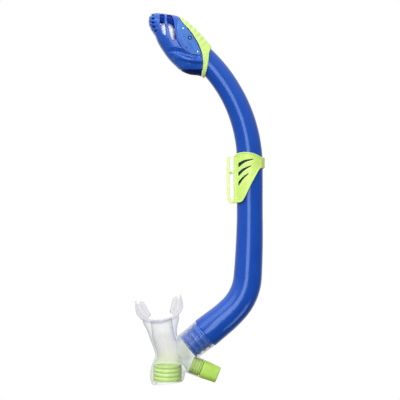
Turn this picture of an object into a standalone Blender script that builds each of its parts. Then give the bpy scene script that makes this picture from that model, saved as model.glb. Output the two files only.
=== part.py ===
"""Dry-top snorkel for a young diver, upright as it is worn.

Frame: metres, +Z up along the straight stretch of the tube, +X from the mouthpiece towards the tube,
Y across the object, which is symmetrical in Y. The origin is on the strap pad of the keeper, the flat
face that the mask strap lies on. Every size below is in millimetres until make_object scales it.
"""

import math

import bmesh
import bpy
import numpy as np
from mathutils import Matrix

MM = 0.001
GAP = 0.3  # between pieces that touch
ROUND = 24  # sides of most round pieces

# ---- driving dimensions -----------------------------------------------------------------------------
TUBE_AXIS_X = 15.8
TUBE_WALL = 1.9
STRAIGHT_TOP_Z = 16.0
STRAIGHT_LENGTH = 50.5
UPPER_BEND_R = 147.0
UPPER_BEND_DEG = 47.5
NECK_TAPER_LENGTH = 75.0
# lower part, from the straight stretch down: (bend radius, degrees turned, steps)
LOWER_BENDS = ((900.0, 3.9, 2), (52.0, 39.5, 6), (127.0, 8.0, 1))
LOWER_END_LENGTH = 20.0
R_NECK, R_STRAIGHT, R_ELBOW, R_END = 11.8, 13.05, 14.25, 15.95

FERRULE_LENGTH = 21.5
FERRULE_RIB_R, FERRULE_RIB_DEPTH, FERRULE_BORE_R = 14.3, 0.9, 10.5
FERRULE_TAPER = 0.07  # radius lost per millimetre of length

HEAD_WALL = 2.3
GUARD_GAP, GUARD_WALL = 0.7, 0.9
FLOAT_PIVOT = (-50.6, 151.3)
FLAP_PIVOT = (-44.0, 142.0)
STUD_PLACE = (-36.3, 128.4)
PIN_R = 1.1
FLAP_OPEN_DEG = 24.0
SEAT_X = -39.2

RING_R_IN, RING_R_OUT = 14.15, 15.0
RING_LOW_Z, RING_HIGH_Z = 13.0, 23.4
WING_R_IN, WING_R_OUT = 14.35, 15.7
LINER_R_IN, LINER_R_OUT = 13.45, 13.88
# each slot in the wings: its low end, the middle of its bow and its high end
WING_SLOTS = (((4.2, 17.6), (10.2, 20.0), (19.4, 21.9)), ((4.2, 8.6), (9.6, 12.0), (17.6, 15.6)),
              ((4.2, -1.2), (8.4, 3.2), (15.2, 8.4)))
PAD_Y = 9.0
GATE_OUTER_X, GATE_INNER_X = -7.1, -4.4
GATE_HINGE = (0.6, -20.4)
GATE_PIN_R = 0.7
STUD_Z = 8.0

MOUTH_ORIGIN = (-70.6, -155.0)
MOUTH_LEAN_DEG = 8.0
# outlines of one bite tab, in the mouthpiece's frame: the upright wall, and the shelf behind it
BITE_WALL = ((9.4, 22.6), (11.2, 21.0), (14.0, 24.6), (17.0, 31.0), (19.4, 37.0), (17.4, 37.8),
             (14.6, 36.2), (11.2, 28.0))
BITE_SHELF = ((10.8, 22.0), (12.6, 19.4), (16.0, 19.6), (21.8, 26.0), (22.6, 31.0), (21.4, 35.0),
              (17.4, 34.6))
MOUTH_WALL = 1.9
PURGE_X = -66.5
PURGE_TOP_Z, PURGE_LOW_Z = -183.6, -200.2
EXHAUST_START = (-32.4, -187.4)
EXHAUST_DROP_DEG = 22.0
EXHAUST_LENGTH = 17.6

COLOURS = {
    "tube_blue": ((0.022, 0.095, 0.49), 0.28),
    "hood_blue": ((0.028, 0.11, 0.50), 0.35),
    "deep_navy": ((0.006, 0.018, 0.12), 0.4),
    "lime": ((0.58, 0.82, 0.16), 0.38),
    "lime_clear": ((0.55, 0.80, 0.22), 0.3),
    "clear_silicone": ((0.86, 0.88, 0.86), 0.22),
    "float_white": ((0.84, 0.84, 0.82), 0.6),
    "pin_steel": ((0.7, 0.73, 0.75), 0.25),
    "arm_grey": ((0.32, 0.36, 0.42), 0.5),
}


# ---- mesh helpers -----------------------------------------------------------------------------------
def material(slot):
    found = bpy.data.materials.get(slot)
    if found:
        return found
    colour, roughness = COLOURS[slot]
    made = bpy.data.materials.new(slot)
    made.use_nodes = True
    shader = made.node_tree.nodes["Principled BSDF"]
    shader.inputs["Base Color"].default_value = (*colour, 1.0)
    shader.inputs["Roughness"].default_value = roughness
    shader.inputs["Metallic"].default_value = 1.0 if slot == "pin_steel" else 0.0
    return made


def joint_empty(name, x, z, turn_deg=0.0):
    """An empty on a joint's axis, which the moving pieces are parented to. turn_deg turns it about Y."""
    empty = bpy.data.objects.new(name, None)
    empty.empty_display_size = 0.01
    empty.location = (x * MM, 0.0, z * MM)
    empty.rotation_euler = (0.0, math.radians(turn_deg), 0.0)
    bpy.context.scene.collection.objects.link(empty)
    return empty


def make_object(name, points, faces, slot=None, parent=None):
    """A mesh object from points in millimetres. With a parent empty, its origin is at the parent."""
    shift = np.array(parent.location) if parent else np.zeros(3)
    mesh = bpy.data.meshes.new(name)
    mesh.from_pydata([tuple(np.array(p) * MM - shift) for p in points], [], faces)
    body = bmesh.new()
    body.from_mesh(mesh)
    bmesh.ops.recalc_face_normals(body, faces=body.faces)
    body.to_mesh(mesh)
    body.free()
    made = bpy.data.objects.new(name, mesh)
    bpy.context.scene.collection.objects.link(made)
    if slot:
        mesh.materials.append(material(slot))
    if parent:
        made.parent = parent
    return made


def loft(name, rings, slot=None, parent=None, looped=False):
    """Joins rings of points, in order. looped joins the last ring to the first, which makes a hollow
    tube or a turned ring, and otherwise the two end rings are filled."""
    count, around = len(rings), len(rings[0])
    points = [p for ring in rings for p in ring]
    faces = []
    for i in range(count if looped else count - 1):
        a, b = i * around, (i + 1) % count * around
        for j in range(around):
            k = (j + 1) % around
            faces.append((a + j, a + k, b + k, b + j))
    if not looped:
        faces.append(tuple(reversed(range(around))))
        faces.append(tuple((count - 1) * around + j for j in range(around)))
    return make_object(name, points, faces, slot, parent)


def prism(name, outline, y_low, y_high, slot=None, parent=None):
    """An outline of (x, z) points, extruded along Y."""
    rings = [[(x, y, z) for x, z in outline] for y in (y_low, y_high)]
    return loft(name, rings, slot, parent)


def box(name, x, y, z, slot=None, parent=None):
    """A block from three (low, high) pairs."""
    return prism(name, [(x[0], z[0]), (x[1], z[0]), (x[1], z[1]), (x[0], z[1])], *y, slot, parent)


def smooth_curve(points, steps=4):
    """A Catmull-Rom curve through hand-placed points, with steps pieces between each two."""
    p = [np.array(q, float) for q in points]
    p = [2 * p[0] - p[1], *p, 2 * p[-1] - p[-2]]
    found = []
    for a, b, c, d in zip(p, p[1:], p[2:], p[3:]):
        for i in range(steps):
            t = i / steps
            found.append(
                0.5 * (2 * b + (c - a) * t + (2 * a - 5 * b + 4 * c - d) * t**2
                       + (3 * b - a - 3 * c + d) * t**3)
            )
    return [tuple(q) for q in (*found, p[-2])]


def section(centre, half_a, half_b, power=2.0, around=ROUND):
    """Points of a superellipse about centre. half_a and half_b are its two half axes, as vectors."""
    c, a, b = (np.array(v, float) for v in (centre, half_a, half_b))
    ring = []
    for i in range(around):
        t = 2 * math.pi * i / around
        ca, sa = math.cos(t), math.sin(t)
        ring.append(tuple(c + a * math.copysign(abs(ca) ** (2 / power), ca)
                          + b * math.copysign(abs(sa) ** (2 / power), sa)))
    return ring


def along(origin, direction, distance, across=0.0):
    """The (x, z) point at a distance along a direction in the XZ plane, and across it to its left."""
    x = origin[0] + direction[0] * distance - direction[1] * across
    z = origin[1] + direction[1] * distance + direction[0] * across
    return x, z


def turned(name, profile, origin, direction, slot=None, parent=None, looped=True, around=ROUND):
    """A body of revolution. profile is (radius, distance) pairs along direction from origin, in the XZ
    plane. A looped profile closes on itself, clear of the axis."""
    rings = []
    for radius, distance in profile:
        x, z = along(origin, direction, distance)
        across = (-direction[1] * radius, 0.0, direction[0] * radius)
        rings.append(section((x, 0.0, z), across, (0.0, radius, 0.0), around=around))
    return loft(name, rings, slot, parent, looped)


def swept(name, stations, slot=None, parent=None, looped=True, power=2.0, around=ROUND):
    """A body along a path in the XZ plane. Each station is ((x, z), direction, half height, half depth)."""
    rings = []
    for (x, z), direction, height, depth in stations:
        across = (-direction[1] * height, 0.0, direction[0] * height)
        rings.append(section((x, 0.0, z), across, (0.0, depth, 0.0), power, around))
    return loft(name, rings, slot, parent, looped)


def hollow(stations, wall):
    """The stations of a tube's outside, then of its inside from the far end back, for a looped sweep."""
    inner = [(p, d, h - wall, b - wall) for p, d, h, b in reversed(stations)]
    return [*stations, *inner]


def combine(target, operation, *others):
    """Applies a Boolean of each other object to target, and removes the others."""
    for other in others:
        modifier = target.modifiers.new("combine", "BOOLEAN")
        modifier.operation = operation
        modifier.solver = "EXACT"
        modifier.object = other
        bpy.context.view_layer.update()
        graph = bpy.context.evaluated_depsgraph_get()
        mesh = bpy.data.meshes.new_from_object(target.evaluated_get(graph))
        target.modifiers.clear()
        target.data = mesh
        tidy(mesh)
        bpy.data.objects.remove(other)
    return target


def tidy(mesh):
    """Merges the near-double points that a Boolean leaves."""
    body = bmesh.new()
    body.from_mesh(mesh)
    bmesh.ops.remove_doubles(body, verts=body.verts, dist=2e-6)
    bmesh.ops.dissolve_degenerate(body, edges=body.edges, dist=2e-6)
    bmesh.ops.triangulate(body, faces=body.faces)
    body.to_mesh(mesh)
    body.free()


def finish(made, slot, parent=None):
    """Gives a finished object its material, and moves its origin to its parent empty, if it has one."""
    if parent:
        made.data.transform(Matrix.Translation(-parent.location))
        made.parent = parent
    made.data.materials.clear()
    made.data.materials.append(material(slot))


def cut(target, *others):
    return combine(target, "DIFFERENCE", *others)


def join(target, *others):
    return combine(target, "UNION", *others)


def keep(target, *others):
    return combine(target, "INTERSECT", *others)


# ---- the tube's centreline --------------------------------------------------------------------------
def turn(heading, degrees):
    """A heading in the XZ plane, turned anticlockwise as seen from -Y."""
    c, s = math.cos(math.radians(degrees)), math.sin(math.radians(degrees))
    return heading[0] * c - heading[1] * s, heading[0] * s + heading[1] * c


def bend(point, heading, radius, degrees, steps):
    """Stations (point, heading) along an arc. Positive degrees turn left."""
    side = math.copysign(1.0, degrees)
    centre = along(point, heading, 0.0, side * radius)
    found = []
    for i in range(1, steps + 1):
        h = turn(heading, degrees * i / steps)
        found.append((along(centre, h, 0.0, -side * radius), h))
    return found


def upper_path(low_deg, high_deg, steps):
    """Stations up the upper bend, between two angles from the vertical."""
    start = (TUBE_AXIS_X, STRAIGHT_TOP_Z)
    first = bend(start, (0.0, 1.0), UPPER_BEND_R, low_deg, 1)[0] if low_deg else (start, (0.0, 1.0))
    return [first, *bend(*first, UPPER_BEND_R, high_deg - low_deg, steps)]


def lower_path():
    """Stations down the tube from the top of its straight stretch, with the radius at each."""
    down = (0.0, -1.0)
    found = [((TUBE_AXIS_X, STRAIGHT_TOP_Z), down, R_STRAIGHT)]
    found.append((along(found[0][0], down, STRAIGHT_LENGTH), down, R_STRAIGHT))
    radii = (R_STRAIGHT, R_ELBOW, R_ELBOW + 0.5, R_ELBOW + 1.05)
    for n, (radius, degrees, steps) in enumerate(LOWER_BENDS):
        arc = bend(found[-1][0], found[-1][1], radius, -degrees, steps)
        for i, (point, heading) in enumerate(arc, 1):
            r = radii[n] + (radii[n + 1] - radii[n]) * i / steps
            found.append((point, heading, r))
    point, heading, _ = found[-1]
    found.append((along(point, heading, LOWER_END_LENGTH), heading, R_END))
    return found


def upper_radius(degrees):
    run = math.radians(degrees) * UPPER_BEND_R / NECK_TAPER_LENGTH
    return R_STRAIGHT + (R_NECK - R_STRAIGHT) * min(1.0, run)


TUBE_END, END_HEADING, _ = lower_path()[-1]


# ---- the head's outline -----------------------------------------------------------------------------
# Each station is the top point, the bottom point and the half thickness in Y, from the neck to the nose.
HEAD_STATIONS = (
    ((-19.8, 131.0), (-27.8, 102.6), 12.2),
    ((-28.5, 141.0), (-36.0, 105.0), 14.2),
    ((-35.0, 148.3), (-44.0, 106.0), 15.6),
    ((-42.0, 155.0), (-52.0, 109.2), 16.3),
    ((-49.5, 161.2), (-59.5, 115.8), 16.3),
    ((-57.0, 164.9), (-66.0, 122.6), 15.9),
    ((-65.0, 166.5), (-71.5, 130.3), 15.0),
    ((-72.5, 167.5), (-76.0, 137.8), 13.8),
    ((-79.0, 167.8), (-79.0, 144.8), 12.4),
    ((-83.0, 166.8), (-82.6, 149.5), 11.2),
    ((-84.7, 164.0), (-84.3, 153.5), 9.2),
)
# The seam between the hood and the collar, and between the collar and the tube, top to bottom.
HOOD_SEAM = ((-56.5, 168.0), (-52.6, 159.4), (-41.6, 146.2), (-33.6, 131.5), (-31.2, 119.0),
             (-32.6, 100.0))
TUBE_SEAM = ((-20.5, 137.0), (-24.4, 129.0), (-25.7, 119.0), (-27.6, 109.4), (-31.0, 99.0))
CHIN_Z = 111.0
CHIN_FRONT_X = -54.5
# The edge of the side cover that faces the windows, top to bottom.
COVER_EDGE = ((-55.3, 161.6), (-57.0, 154.0), (-56.6, 147.0), (-54.9, 140.0), (-50.6, 131.4),
              (-43.6, 126.3), (-33.4, 124.7))
WINDOWS = (
    ((-73.8, 165.4), (-69.8, 165.0), (-69.1, 157.7), (-67.5, 148.5), (-67.4, 144.9), (-71.0, 148.2),
     (-73.6, 156.0)),
    ((-67.0, 164.4), (-63.4, 163.8), (-60.4, 157.4), (-59.7, 150.0), (-58.3, 142.0), (-60.0, 140.2),
     (-62.6, 143.0), (-65.6, 150.5), (-67.0, 157.0)),
)
# The splash guard's lower edge behind the windows, from the nose back.
GUARD_EDGE = ((-95.0, 145.0), (-77.5, 145.0), (-75.8, 158.6), (-72.5, 158.2), (-68.9, 156.4),
              (-67.5, 157.6), (-64.8, 157.2), (-62.0, 155.8), (-59.7, 153.3), (-57.2, 150.5))
NOSE_SLOTS = ((-80.6, 165.0), (-79.6, 161.4), (-79.4, 157.4), (-78.6, 153.2), (-76.6, 148.9))


def head_solid(name, inset=0.0, past_neck=0.0):
    """The head's outer form, grown inwards by inset. past_neck carries its neck end on down the tube."""
    rings = []
    for n, (top, low, half) in enumerate(HEAD_STATIONS):
        top, low = np.array(top), np.array(low)
        centre, reach = (top + low) / 2, (top - low) / 2
        length = np.linalg.norm(reach)
        reach = reach * (length - inset) / length
        if n == 0:
            centre = centre + past_neck * np.array((0.70, -0.71))
        if n >= len(HEAD_STATIONS) - 2:
            centre = centre + (inset, 0.0)
        rings.append(section((centre[0], 0.0, centre[1]), (reach[0], 0.0, reach[1]),
                             (0.0, half - inset, 0.0), power=2.4))
    return loft(name, rings)


def seam_prism(name, seam, left, shift=0.0):
    """A block from a seam out to the left or to the right of the head, above and below it too."""
    far = -120.0 if left else 60.0
    curve = [(x + shift, z) for x, z in smooth_curve(seam, 3)]
    outline = [(curve[0][0], 220.0), *curve, (curve[-1][0], 60.0), (far, 60.0), (far, 220.0)]
    return prism(name, outline, -40.0, 40.0)


def pin(name, place, slot, radius=PIN_R, y_low=-30.0, y_high=30.0, trim=True):
    """A pin across the head. trim cuts its ends to the head's own curve, a little proud."""
    x, z = place
    rings = [section((x, y, z), (radius, 0.0, 0.0), (0.0, 0.0, radius), around=16) for y in (y_low, y_high)]
    made = loft(name, rings, slot)
    return keep(made, head_solid("pin_trim", -0.35)) if trim else made


def grown(outline, by):
    """An outline given anticlockwise as (x, z), moved outwards by a distance."""
    p = [np.array(q) for q in outline]
    found = []
    for before, here, after in zip([p[-1], *p[:-1]], p, [*p[1:], p[0]]):
        normals = [np.array((e[1], -e[0])) / np.linalg.norm(e) for e in (here - before, after - here)]
        middle = normals[0] + normals[1]
        found.append(tuple(here + middle * by / (middle @ normals[0])))
    return found


def cover_outline(grow=0.0):
    seam = [(x - 0.9, z) for x, z in smooth_curve(HOOD_SEAM, 3) if 126.5 < z < 159.0]
    return grown([*smooth_curve(COVER_EDGE, 3), *reversed(seam)], grow)


def build_hood():
    hood = head_solid("hood")
    cut(hood, head_solid("inside", HEAD_WALL, 20.0))
    keep(hood, seam_prism("left_of_seam", HOOD_SEAM, True, -GAP / 2))
    cut(hood, box("chin_cut", (CHIN_FRONT_X, -10.0), (-40.0, 40.0), (90.0, CHIN_Z)))
    for n, outline in enumerate(WINDOWS):
        cut(hood, prism(f"window_{n}", outline, -40.0, 40.0))
    for n, (x, z) in enumerate(NOSE_SLOTS):
        cut(hood, box(f"nose_slot_{n}", (-95.0, x), (-40.0, 40.0), (z - 0.9, z + 0.9)))
    recess = prism("recess", cover_outline(GAP), -40.0, 40.0)
    cut(hood, cut(recess, head_solid("recess_floor", 1.3)))
    for place in (FLOAT_PIVOT, FLAP_PIVOT, STUD_PLACE):
        cut(hood, pin("pin_hole", place, None, PIN_R + GAP, trim=False))
    finish(hood, "hood_blue")


def build_splash_guard():
    """The thin inner shell round the nose, which keeps spray off the float behind the windows."""
    guard = prism("splash_guard", [*GUARD_EDGE, (-57.2, 175.0), (-95.0, 175.0)], -40.0, 40.0)
    keep(guard, head_solid("guard_outside", HEAD_WALL + GUARD_GAP))
    cut(guard, head_solid("guard_inside", HEAD_WALL + GUARD_GAP + GUARD_WALL))
    finish(guard, "deep_navy")


def build_side_covers():
    for name, y_low, y_high in (("side_cover_front", -40.0, -2.0), ("side_cover_back", 2.0, 40.0)):
        cover = prism(name, cover_outline(), y_low, y_high)
        keep(cover, head_solid("cover_outside", -0.1))
        cut(cover, head_solid("cover_inside", 1.0))
        for place, radius in ((FLOAT_PIVOT, PIN_R + GAP), (FLAP_PIVOT, 2.0), (STUD_PLACE, PIN_R + GAP)):
            cut(cover, pin("pin_hole", place, None, radius, trim=False))
        finish(cover, "hood_blue")


def build_collar():
    """The lime trim: a ring round the neck that runs up into a spine along the head's top edge."""
    collar = head_solid("collar_trim", -0.35)
    cut(collar, head_solid("inside", HEAD_WALL, 20.0))
    keep(collar, seam_prism("right_of_hood", HOOD_SEAM, False, GAP / 2))
    keep(collar, seam_prism("left_of_tube", TUBE_SEAM, True))
    finish(collar, "lime")


def build_chin_grille():
    """The navy grille under the chin, which lets water drain and air in."""
    grille = box("chin_grille", (CHIN_FRONT_X + GAP, -20.0), (-40.0, 40.0), (90.0, CHIN_Z - GAP))
    keep(grille, head_solid("chin_outside", 0.5))
    cut(grille, head_solid("chin_inside", HEAD_WALL, 20.0))
    keep(grille, seam_prism("left_of_seam", HOOD_SEAM, True, -GAP))
    for y in (-6.0, -2.0, 2.0, 6.0):
        cut(grille, box("drain_slot", (-49.0, -36.5), (y - 0.9, y + 0.9), (95.0, 115.0)))
    finish(grille, "deep_navy")


def build_base():
    """The inner base: a spigot in the tube, and a bulkhead with the valve seat across the head."""
    first, last = 35.0, 51.5
    spigot_r, bore_r = R_NECK - TUBE_WALL - 0.5, 7.5
    spigot = [(p, h, spigot_r, spigot_r) for p, h in upper_path(first, last, 4)]
    base = swept("dry_top_base", spigot, looped=False)
    plate = box("bulkhead", (SEAT_X, SEAT_X + 2.4), (-40.0, 40.0), (90.0, 170.0))
    keep(plate, head_solid("bulkhead_edge", HEAD_WALL + GAP))
    stations = [((x, 130.0), (1.0, 0.0), 11.2, 9.2) for x in (SEAT_X - 1.0, SEAT_X + 1.0)]
    lip = swept("lip", stations, looped=False)
    join(base, plate, lip)
    bore = [(p, h, bore_r, bore_r) for p, h in upper_path(first - 3.0, 43.0, 3)]
    bore += [((x, 129.2), (-1.0, 0.0), 8.2, bore_r) for x in (SEAT_X, SEAT_X - 6.0)]
    cut(base, swept("bore", bore, looped=False))
    cut(base, box("seat_face", (-60.0, SEAT_X - 1.0), (-40.0, 40.0), (90.0, 170.0)))
    for y_low, y_high in ((-40.0, -9.6), (9.6, 40.0)):
        cut(base, pin("stud_hole", STUD_PLACE, None, PIN_R + GAP, y_low, y_high, trim=False))
    finish(base, "hood_blue")


def build_head_pins():
    for name, place in (("float_pin", FLOAT_PIVOT), ("flap_pin", FLAP_PIVOT)):
        made = pin(name, place, None)
        finish(made, "pin_steel")
    for name, y_low, y_high in (("hood_stud_front", -30.0, -10.2), ("hood_stud_back", 10.2, 30.0)):
        made = pin(name, STUD_PLACE, None, y_low=y_low, y_high=y_high)
        finish(made, "pin_steel")


def build_float():
    """The buoyant block in the nose and the arm that hangs it on the upper pin."""
    pivot = joint_empty("float_swing", *FLOAT_PIVOT)
    heights = ((-74.2, 146.0, 153.6, 6.2), (-73.0, 143.2, 156.4, 7.4), (-69.5, 138.2, 158.2, 8.8),
               (-65.0, 134.0, 157.6, 9.4), (-61.5, 132.4, 155.6, 9.2), (-60.0, 134.5, 152.6, 8.2))
    rings = [section((x, 0.0, (low + top) / 2), (0.0, 0.0, (top - low) / 2), (0.0, half, 0.0), 3.0)
             for x, low, top, half in heights]
    loft("float_body", rings, "float_white", pivot)
    x, z = FLOAT_PIVOT
    outline = [*[(x + 2.9 * math.cos(a), z + 2.9 * math.sin(a)) for a in np.linspace(-0.9, 1.9, 7)],
               (-58.0, 152.4), (-59.7, 151.4), (-59.7, 142.0), (-57.5, 142.0), (-54.5, 147.0), (-51.2, 147.2)]
    arm = prism("float_arm", outline, -3.0, 3.0, "arm_grey", pivot)
    cut(arm, pin("arm_hole", FLOAT_PIVOT, None, PIN_R + GAP, trim=False))


def build_flap():
    """The valve flap, made shut and then turned open about its pin, as it hangs in air."""
    pivot = joint_empty("flap_swing", *FLAP_PIVOT)
    x, z = FLAP_PIVOT
    hub = [(x + 2.7 * math.cos(a), z + 2.7 * math.sin(a)) for a in np.linspace(-1.1, 2.3, 7)]
    outline = [*hub, (-47.0, 143.2), (-46.6, 140.8), (-45.0, 138.0), (-45.0, 119.6), (-42.9, 118.8)]
    arm = prism("flap_arm", outline, -3.4, 3.4, "arm_grey", pivot)
    cut(arm, pin("hub_hole", FLAP_PIVOT, None, PIN_R + GAP, trim=False))
    face_x = SEAT_X - 1.0 - GAP
    rings = [section((face_x - back, 0.0, 129.4), (0.0, 0.0, high), (0.0, wide, 0.0), 2.2)
             for back, high, wide in ((0.0, 9.9, 8.9), (0.5, 10.2, 9.2), (1.9, 10.2, 9.2))]
    loft("flap_seal", rings, "clear_silicone", pivot)
    pivot.rotation_euler = (0.0, math.radians(FLAP_OPEN_DEG), 0.0)


# ---- tube and keeper --------------------------------------------------------------------------------
def build_tube():
    steps = 8
    upper = [(p, (-h[0], -h[1]), upper_radius(i * UPPER_BEND_DEG / steps))
             for i, (p, h) in enumerate(upper_path(0.0, UPPER_BEND_DEG, steps))]
    path = [*reversed(upper), *lower_path()[1:]]
    stations = [(p, h, r, r) for p, h, r in path]
    tube = swept("main_tube", hollow(stations, TUBE_WALL))
    cut(tube, seam_prism("head_end", TUBE_SEAM, True, GAP))
    finish(tube, "tube_blue")


def build_ferrule():
    """The ribbed, tapered end that the mouthpiece swivels on, glued in the tube's lower end."""
    spigot_r = R_END - TUBE_WALL - 0.45

    def rib(s):
        return FERRULE_RIB_R - FERRULE_TAPER * s

    def core(s):
        return rib(s) - FERRULE_RIB_DEPTH

    profile = [(FERRULE_BORE_R, -12.0), (spigot_r - 0.35, -12.0), (spigot_r - 0.2, -GAP), (core(GAP), GAP)]
    for start in (2.8, 8.9, 15.0):
        profile += [(core(start), start), (rib(start), start + 0.6), (rib(start), start + 2.6),
                    (core(start), start + 3.2)]
    last = FERRULE_LENGTH - 1.8
    profile += [(core(last), last), (rib(last), last + 0.4), (rib(last), FERRULE_LENGTH),
                (FERRULE_BORE_R, FERRULE_LENGTH)]
    turned("swivel_ferrule", profile, TUBE_END, END_HEADING, "tube_blue")


def build_keeper():
    """The clip on the tube: a ring, two slotted wings and the flat pad that the mask strap lies on."""
    centre = (TUBE_AXIS_X, RING_HIGH_Z)
    mid = joint_empty("keeper_turn", TUBE_AXIS_X, (RING_LOW_Z + RING_HIGH_Z) / 2)
    down = (0.0, -1.0)
    height = RING_HIGH_Z - RING_LOW_Z
    turned("keeper_liner", [(LINER_R_IN, 0.8), (LINER_R_OUT, 0.8), (LINER_R_OUT, height + 0.8),
                            (LINER_R_IN, height + 0.8)], centre, down, "lime_clear", mid, around=32)
    wing_top = smooth_curve(((-1.0, 23.5), (3.0, 27.4), (11.0, 28.7), (20.0, 27.2), (28.0, 23.4)), 3)
    wing_low = smooth_curve(((27.5, 13.0), (24.7, 10.8), (16.2, -4.5), (9.2, -18.6), (5.0, -21.4),
                             (-1.0, -21.6)), 3)
    wings = [(WING_R_IN, -8.0), (WING_R_OUT, -8.0), (WING_R_OUT, 46.0), (WING_R_IN, 46.0)]
    keeper = turned("keeper_clip", wings, centre, down, around=32)
    keep(keeper, prism("wing_outline", [*wing_top, *wing_low], -40.0, 40.0))
    join(keeper, box("strap_pad", (0.0, 2.4), (-PAD_Y, PAD_Y), (-18.4, 23.0)))
    ring = [(RING_R_IN, 0.0), (RING_R_OUT, 0.0), (RING_R_OUT, height), (RING_R_IN, height)]
    join(keeper, turned("ring", ring, centre, down, around=32))
    bore = [(RING_R_IN, -30.0), (RING_R_IN, height), (RING_R_IN + 0.3, height + 0.3), (RING_R_IN + 0.3, 80.0)]
    cut(keeper, turned("ring_bore", bore, centre, down, looped=False, around=32))
    for low, bow, high in WING_SLOTS:
        upper = smooth_curve((low, (bow[0], bow[1] + 0.6), high), 2)
        back = ((high[0], high[1] - 0.5), (bow[0] + 0.3, bow[1] - 1.8), (low[0], low[1] - 4.4))
        cut(keeper, prism("wing_slot", [*upper, *smooth_curve(back, 2)], -40.0, 40.0))
    x, z = GATE_HINGE
    cut(keeper, pin("hinge_seat", (x, z), None, 2.0 + GAP, -PAD_Y - 1.0, PAD_Y + 1.0, trim=False))
    cut(keeper, box("hinge_mouth", (-5.0, x), (-PAD_Y - 1.0, PAD_Y + 1.0), (z - 4.0, z + 2.0 + GAP)))
    cut(keeper, box("latch_hole", (-1.0, 3.2), (-2.3, 2.3), (STUD_Z - 1.5, STUD_Z + 1.5)))
    for y_low, y_high in ((-PAD_Y - 0.9, -PAD_Y + 0.7), (PAD_Y - 0.7, PAD_Y + 0.9)):
        join(keeper, pin("knuckle", (x, z), None, 1.9, y_low, y_high, trim=False))
        join(keeper, box("knuckle_web", (x, 4.6), (y_low, y_high), (z - 1.0, -17.0)))
    cut(keeper, pin("pin_hole", (x, z), None, GATE_PIN_R + GAP, trim=False))
    finish(keeper, "lime")
    half = PAD_Y + 0.9
    pin("gate_pin", (x, z), "pin_steel", GATE_PIN_R, -half, half, trim=False)


def build_gate():
    """The bar that shuts the strap slot. It hinges at its foot and latches with a stud."""
    pivot = joint_empty("gate_open", *GATE_HINGE)
    x, z = GATE_HINGE
    foot = [(x + 1.9 * math.cos(a), z + 1.9 * math.sin(a)) for a in np.linspace(-1.4, 1.9, 8)]
    inner = smooth_curve(((-2.6, -18.6), (-4.0, -16.4), (GATE_INNER_X, -13.0), (GATE_INNER_X, 20.6)), 3)
    barb = [(GATE_INNER_X + 0.9, 22.4), (GATE_INNER_X + 0.7, 24.2), (GATE_INNER_X - 0.8, 24.8)]
    outer = smooth_curve(((GATE_OUTER_X + 0.7, 23.6), (GATE_OUTER_X, 20.0), (GATE_OUTER_X, -6.0),
                          (-6.4, -18.0), (-3.6, -22.2), (x, z - 1.9)), 3)
    gate = prism("strap_gate", [*foot, *inner, *barb, *outer[:-1]], -PAD_Y + 1.0, PAD_Y - 1.0)
    join(gate, box("latch_stud", (GATE_INNER_X - 0.6, 0.6), (-1.8, 1.8), (STUD_Z - 1.1, STUD_Z + 1.1)))
    cut(gate, pin("hinge_hole", (x, z), None, GATE_PIN_R + GAP, trim=False))
    finish(gate, "lime", pivot)


# ---- mouthpiece end ---------------------------------------------------------------------------------
MOUTH_UP = turn((0.0, 1.0), MOUTH_LEAN_DEG)
MOUTH_ACROSS = (MOUTH_UP[1], -MOUTH_UP[0])
EXHAUST_OUT = turn((1.0, 0.0), -EXHAUST_DROP_DEG)


def mouth_point(across, up):
    """The (x, z) point of a place in the mouthpiece's own frame."""
    x = MOUTH_ORIGIN[0] + MOUTH_ACROSS[0] * across + MOUTH_UP[0] * up
    z = MOUTH_ORIGIN[1] + MOUTH_ACROSS[1] * across + MOUTH_UP[1] * up
    return x, z


def oval(name, stations, power=2.0):
    """A filled loft of stations (across, up, half width, half depth) in the mouthpiece's frame."""
    rows = [(mouth_point(a, u), MOUTH_UP, w, d) for a, u, w, d in stations]
    return swept(name, rows, looped=False, power=power)


def mouth_prism(name, outline, half):
    """An outline in the mouthpiece's frame, extruded half as far to each side."""
    return prism(name, [mouth_point(a, u) for a, u in outline], -half, half)


def neck_form(name, wall, longer):
    rows = [(0.0, longer, 13.9, 12.2), (1.8, -10.0, 13.4, 12.6), (2.6, -18.0, 13.2, 13.0),
            (1.8, -28.0, 13.2, 13.2)]
    return oval(name, [(a, u, w - wall, d - wall) for a, u, w, d in rows])


def sleeve_form(name, rows):
    rows = [(along(TUBE_END, END_HEADING, s), END_HEADING, r, r) for s, r in rows]
    return swept(name, rows, looped=False)


def cup_form(name, rows):
    """rows are (height, radius, tilt in degrees)."""
    rows = [((PURGE_X, z), turn((0.0, -1.0), tilt), r, r) for z, r, tilt in rows]
    return swept(name, rows, looped=False)


def exhaust_form(name, rows, power=2.8):
    """rows are (distance out, offset across, half height, half depth)."""
    rows = [(along(EXHAUST_START, EXHAUST_OUT, s, a), EXHAUST_OUT, h, b) for s, a, h, b in rows]
    return swept(name, rows, looped=False, power=power)


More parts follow.
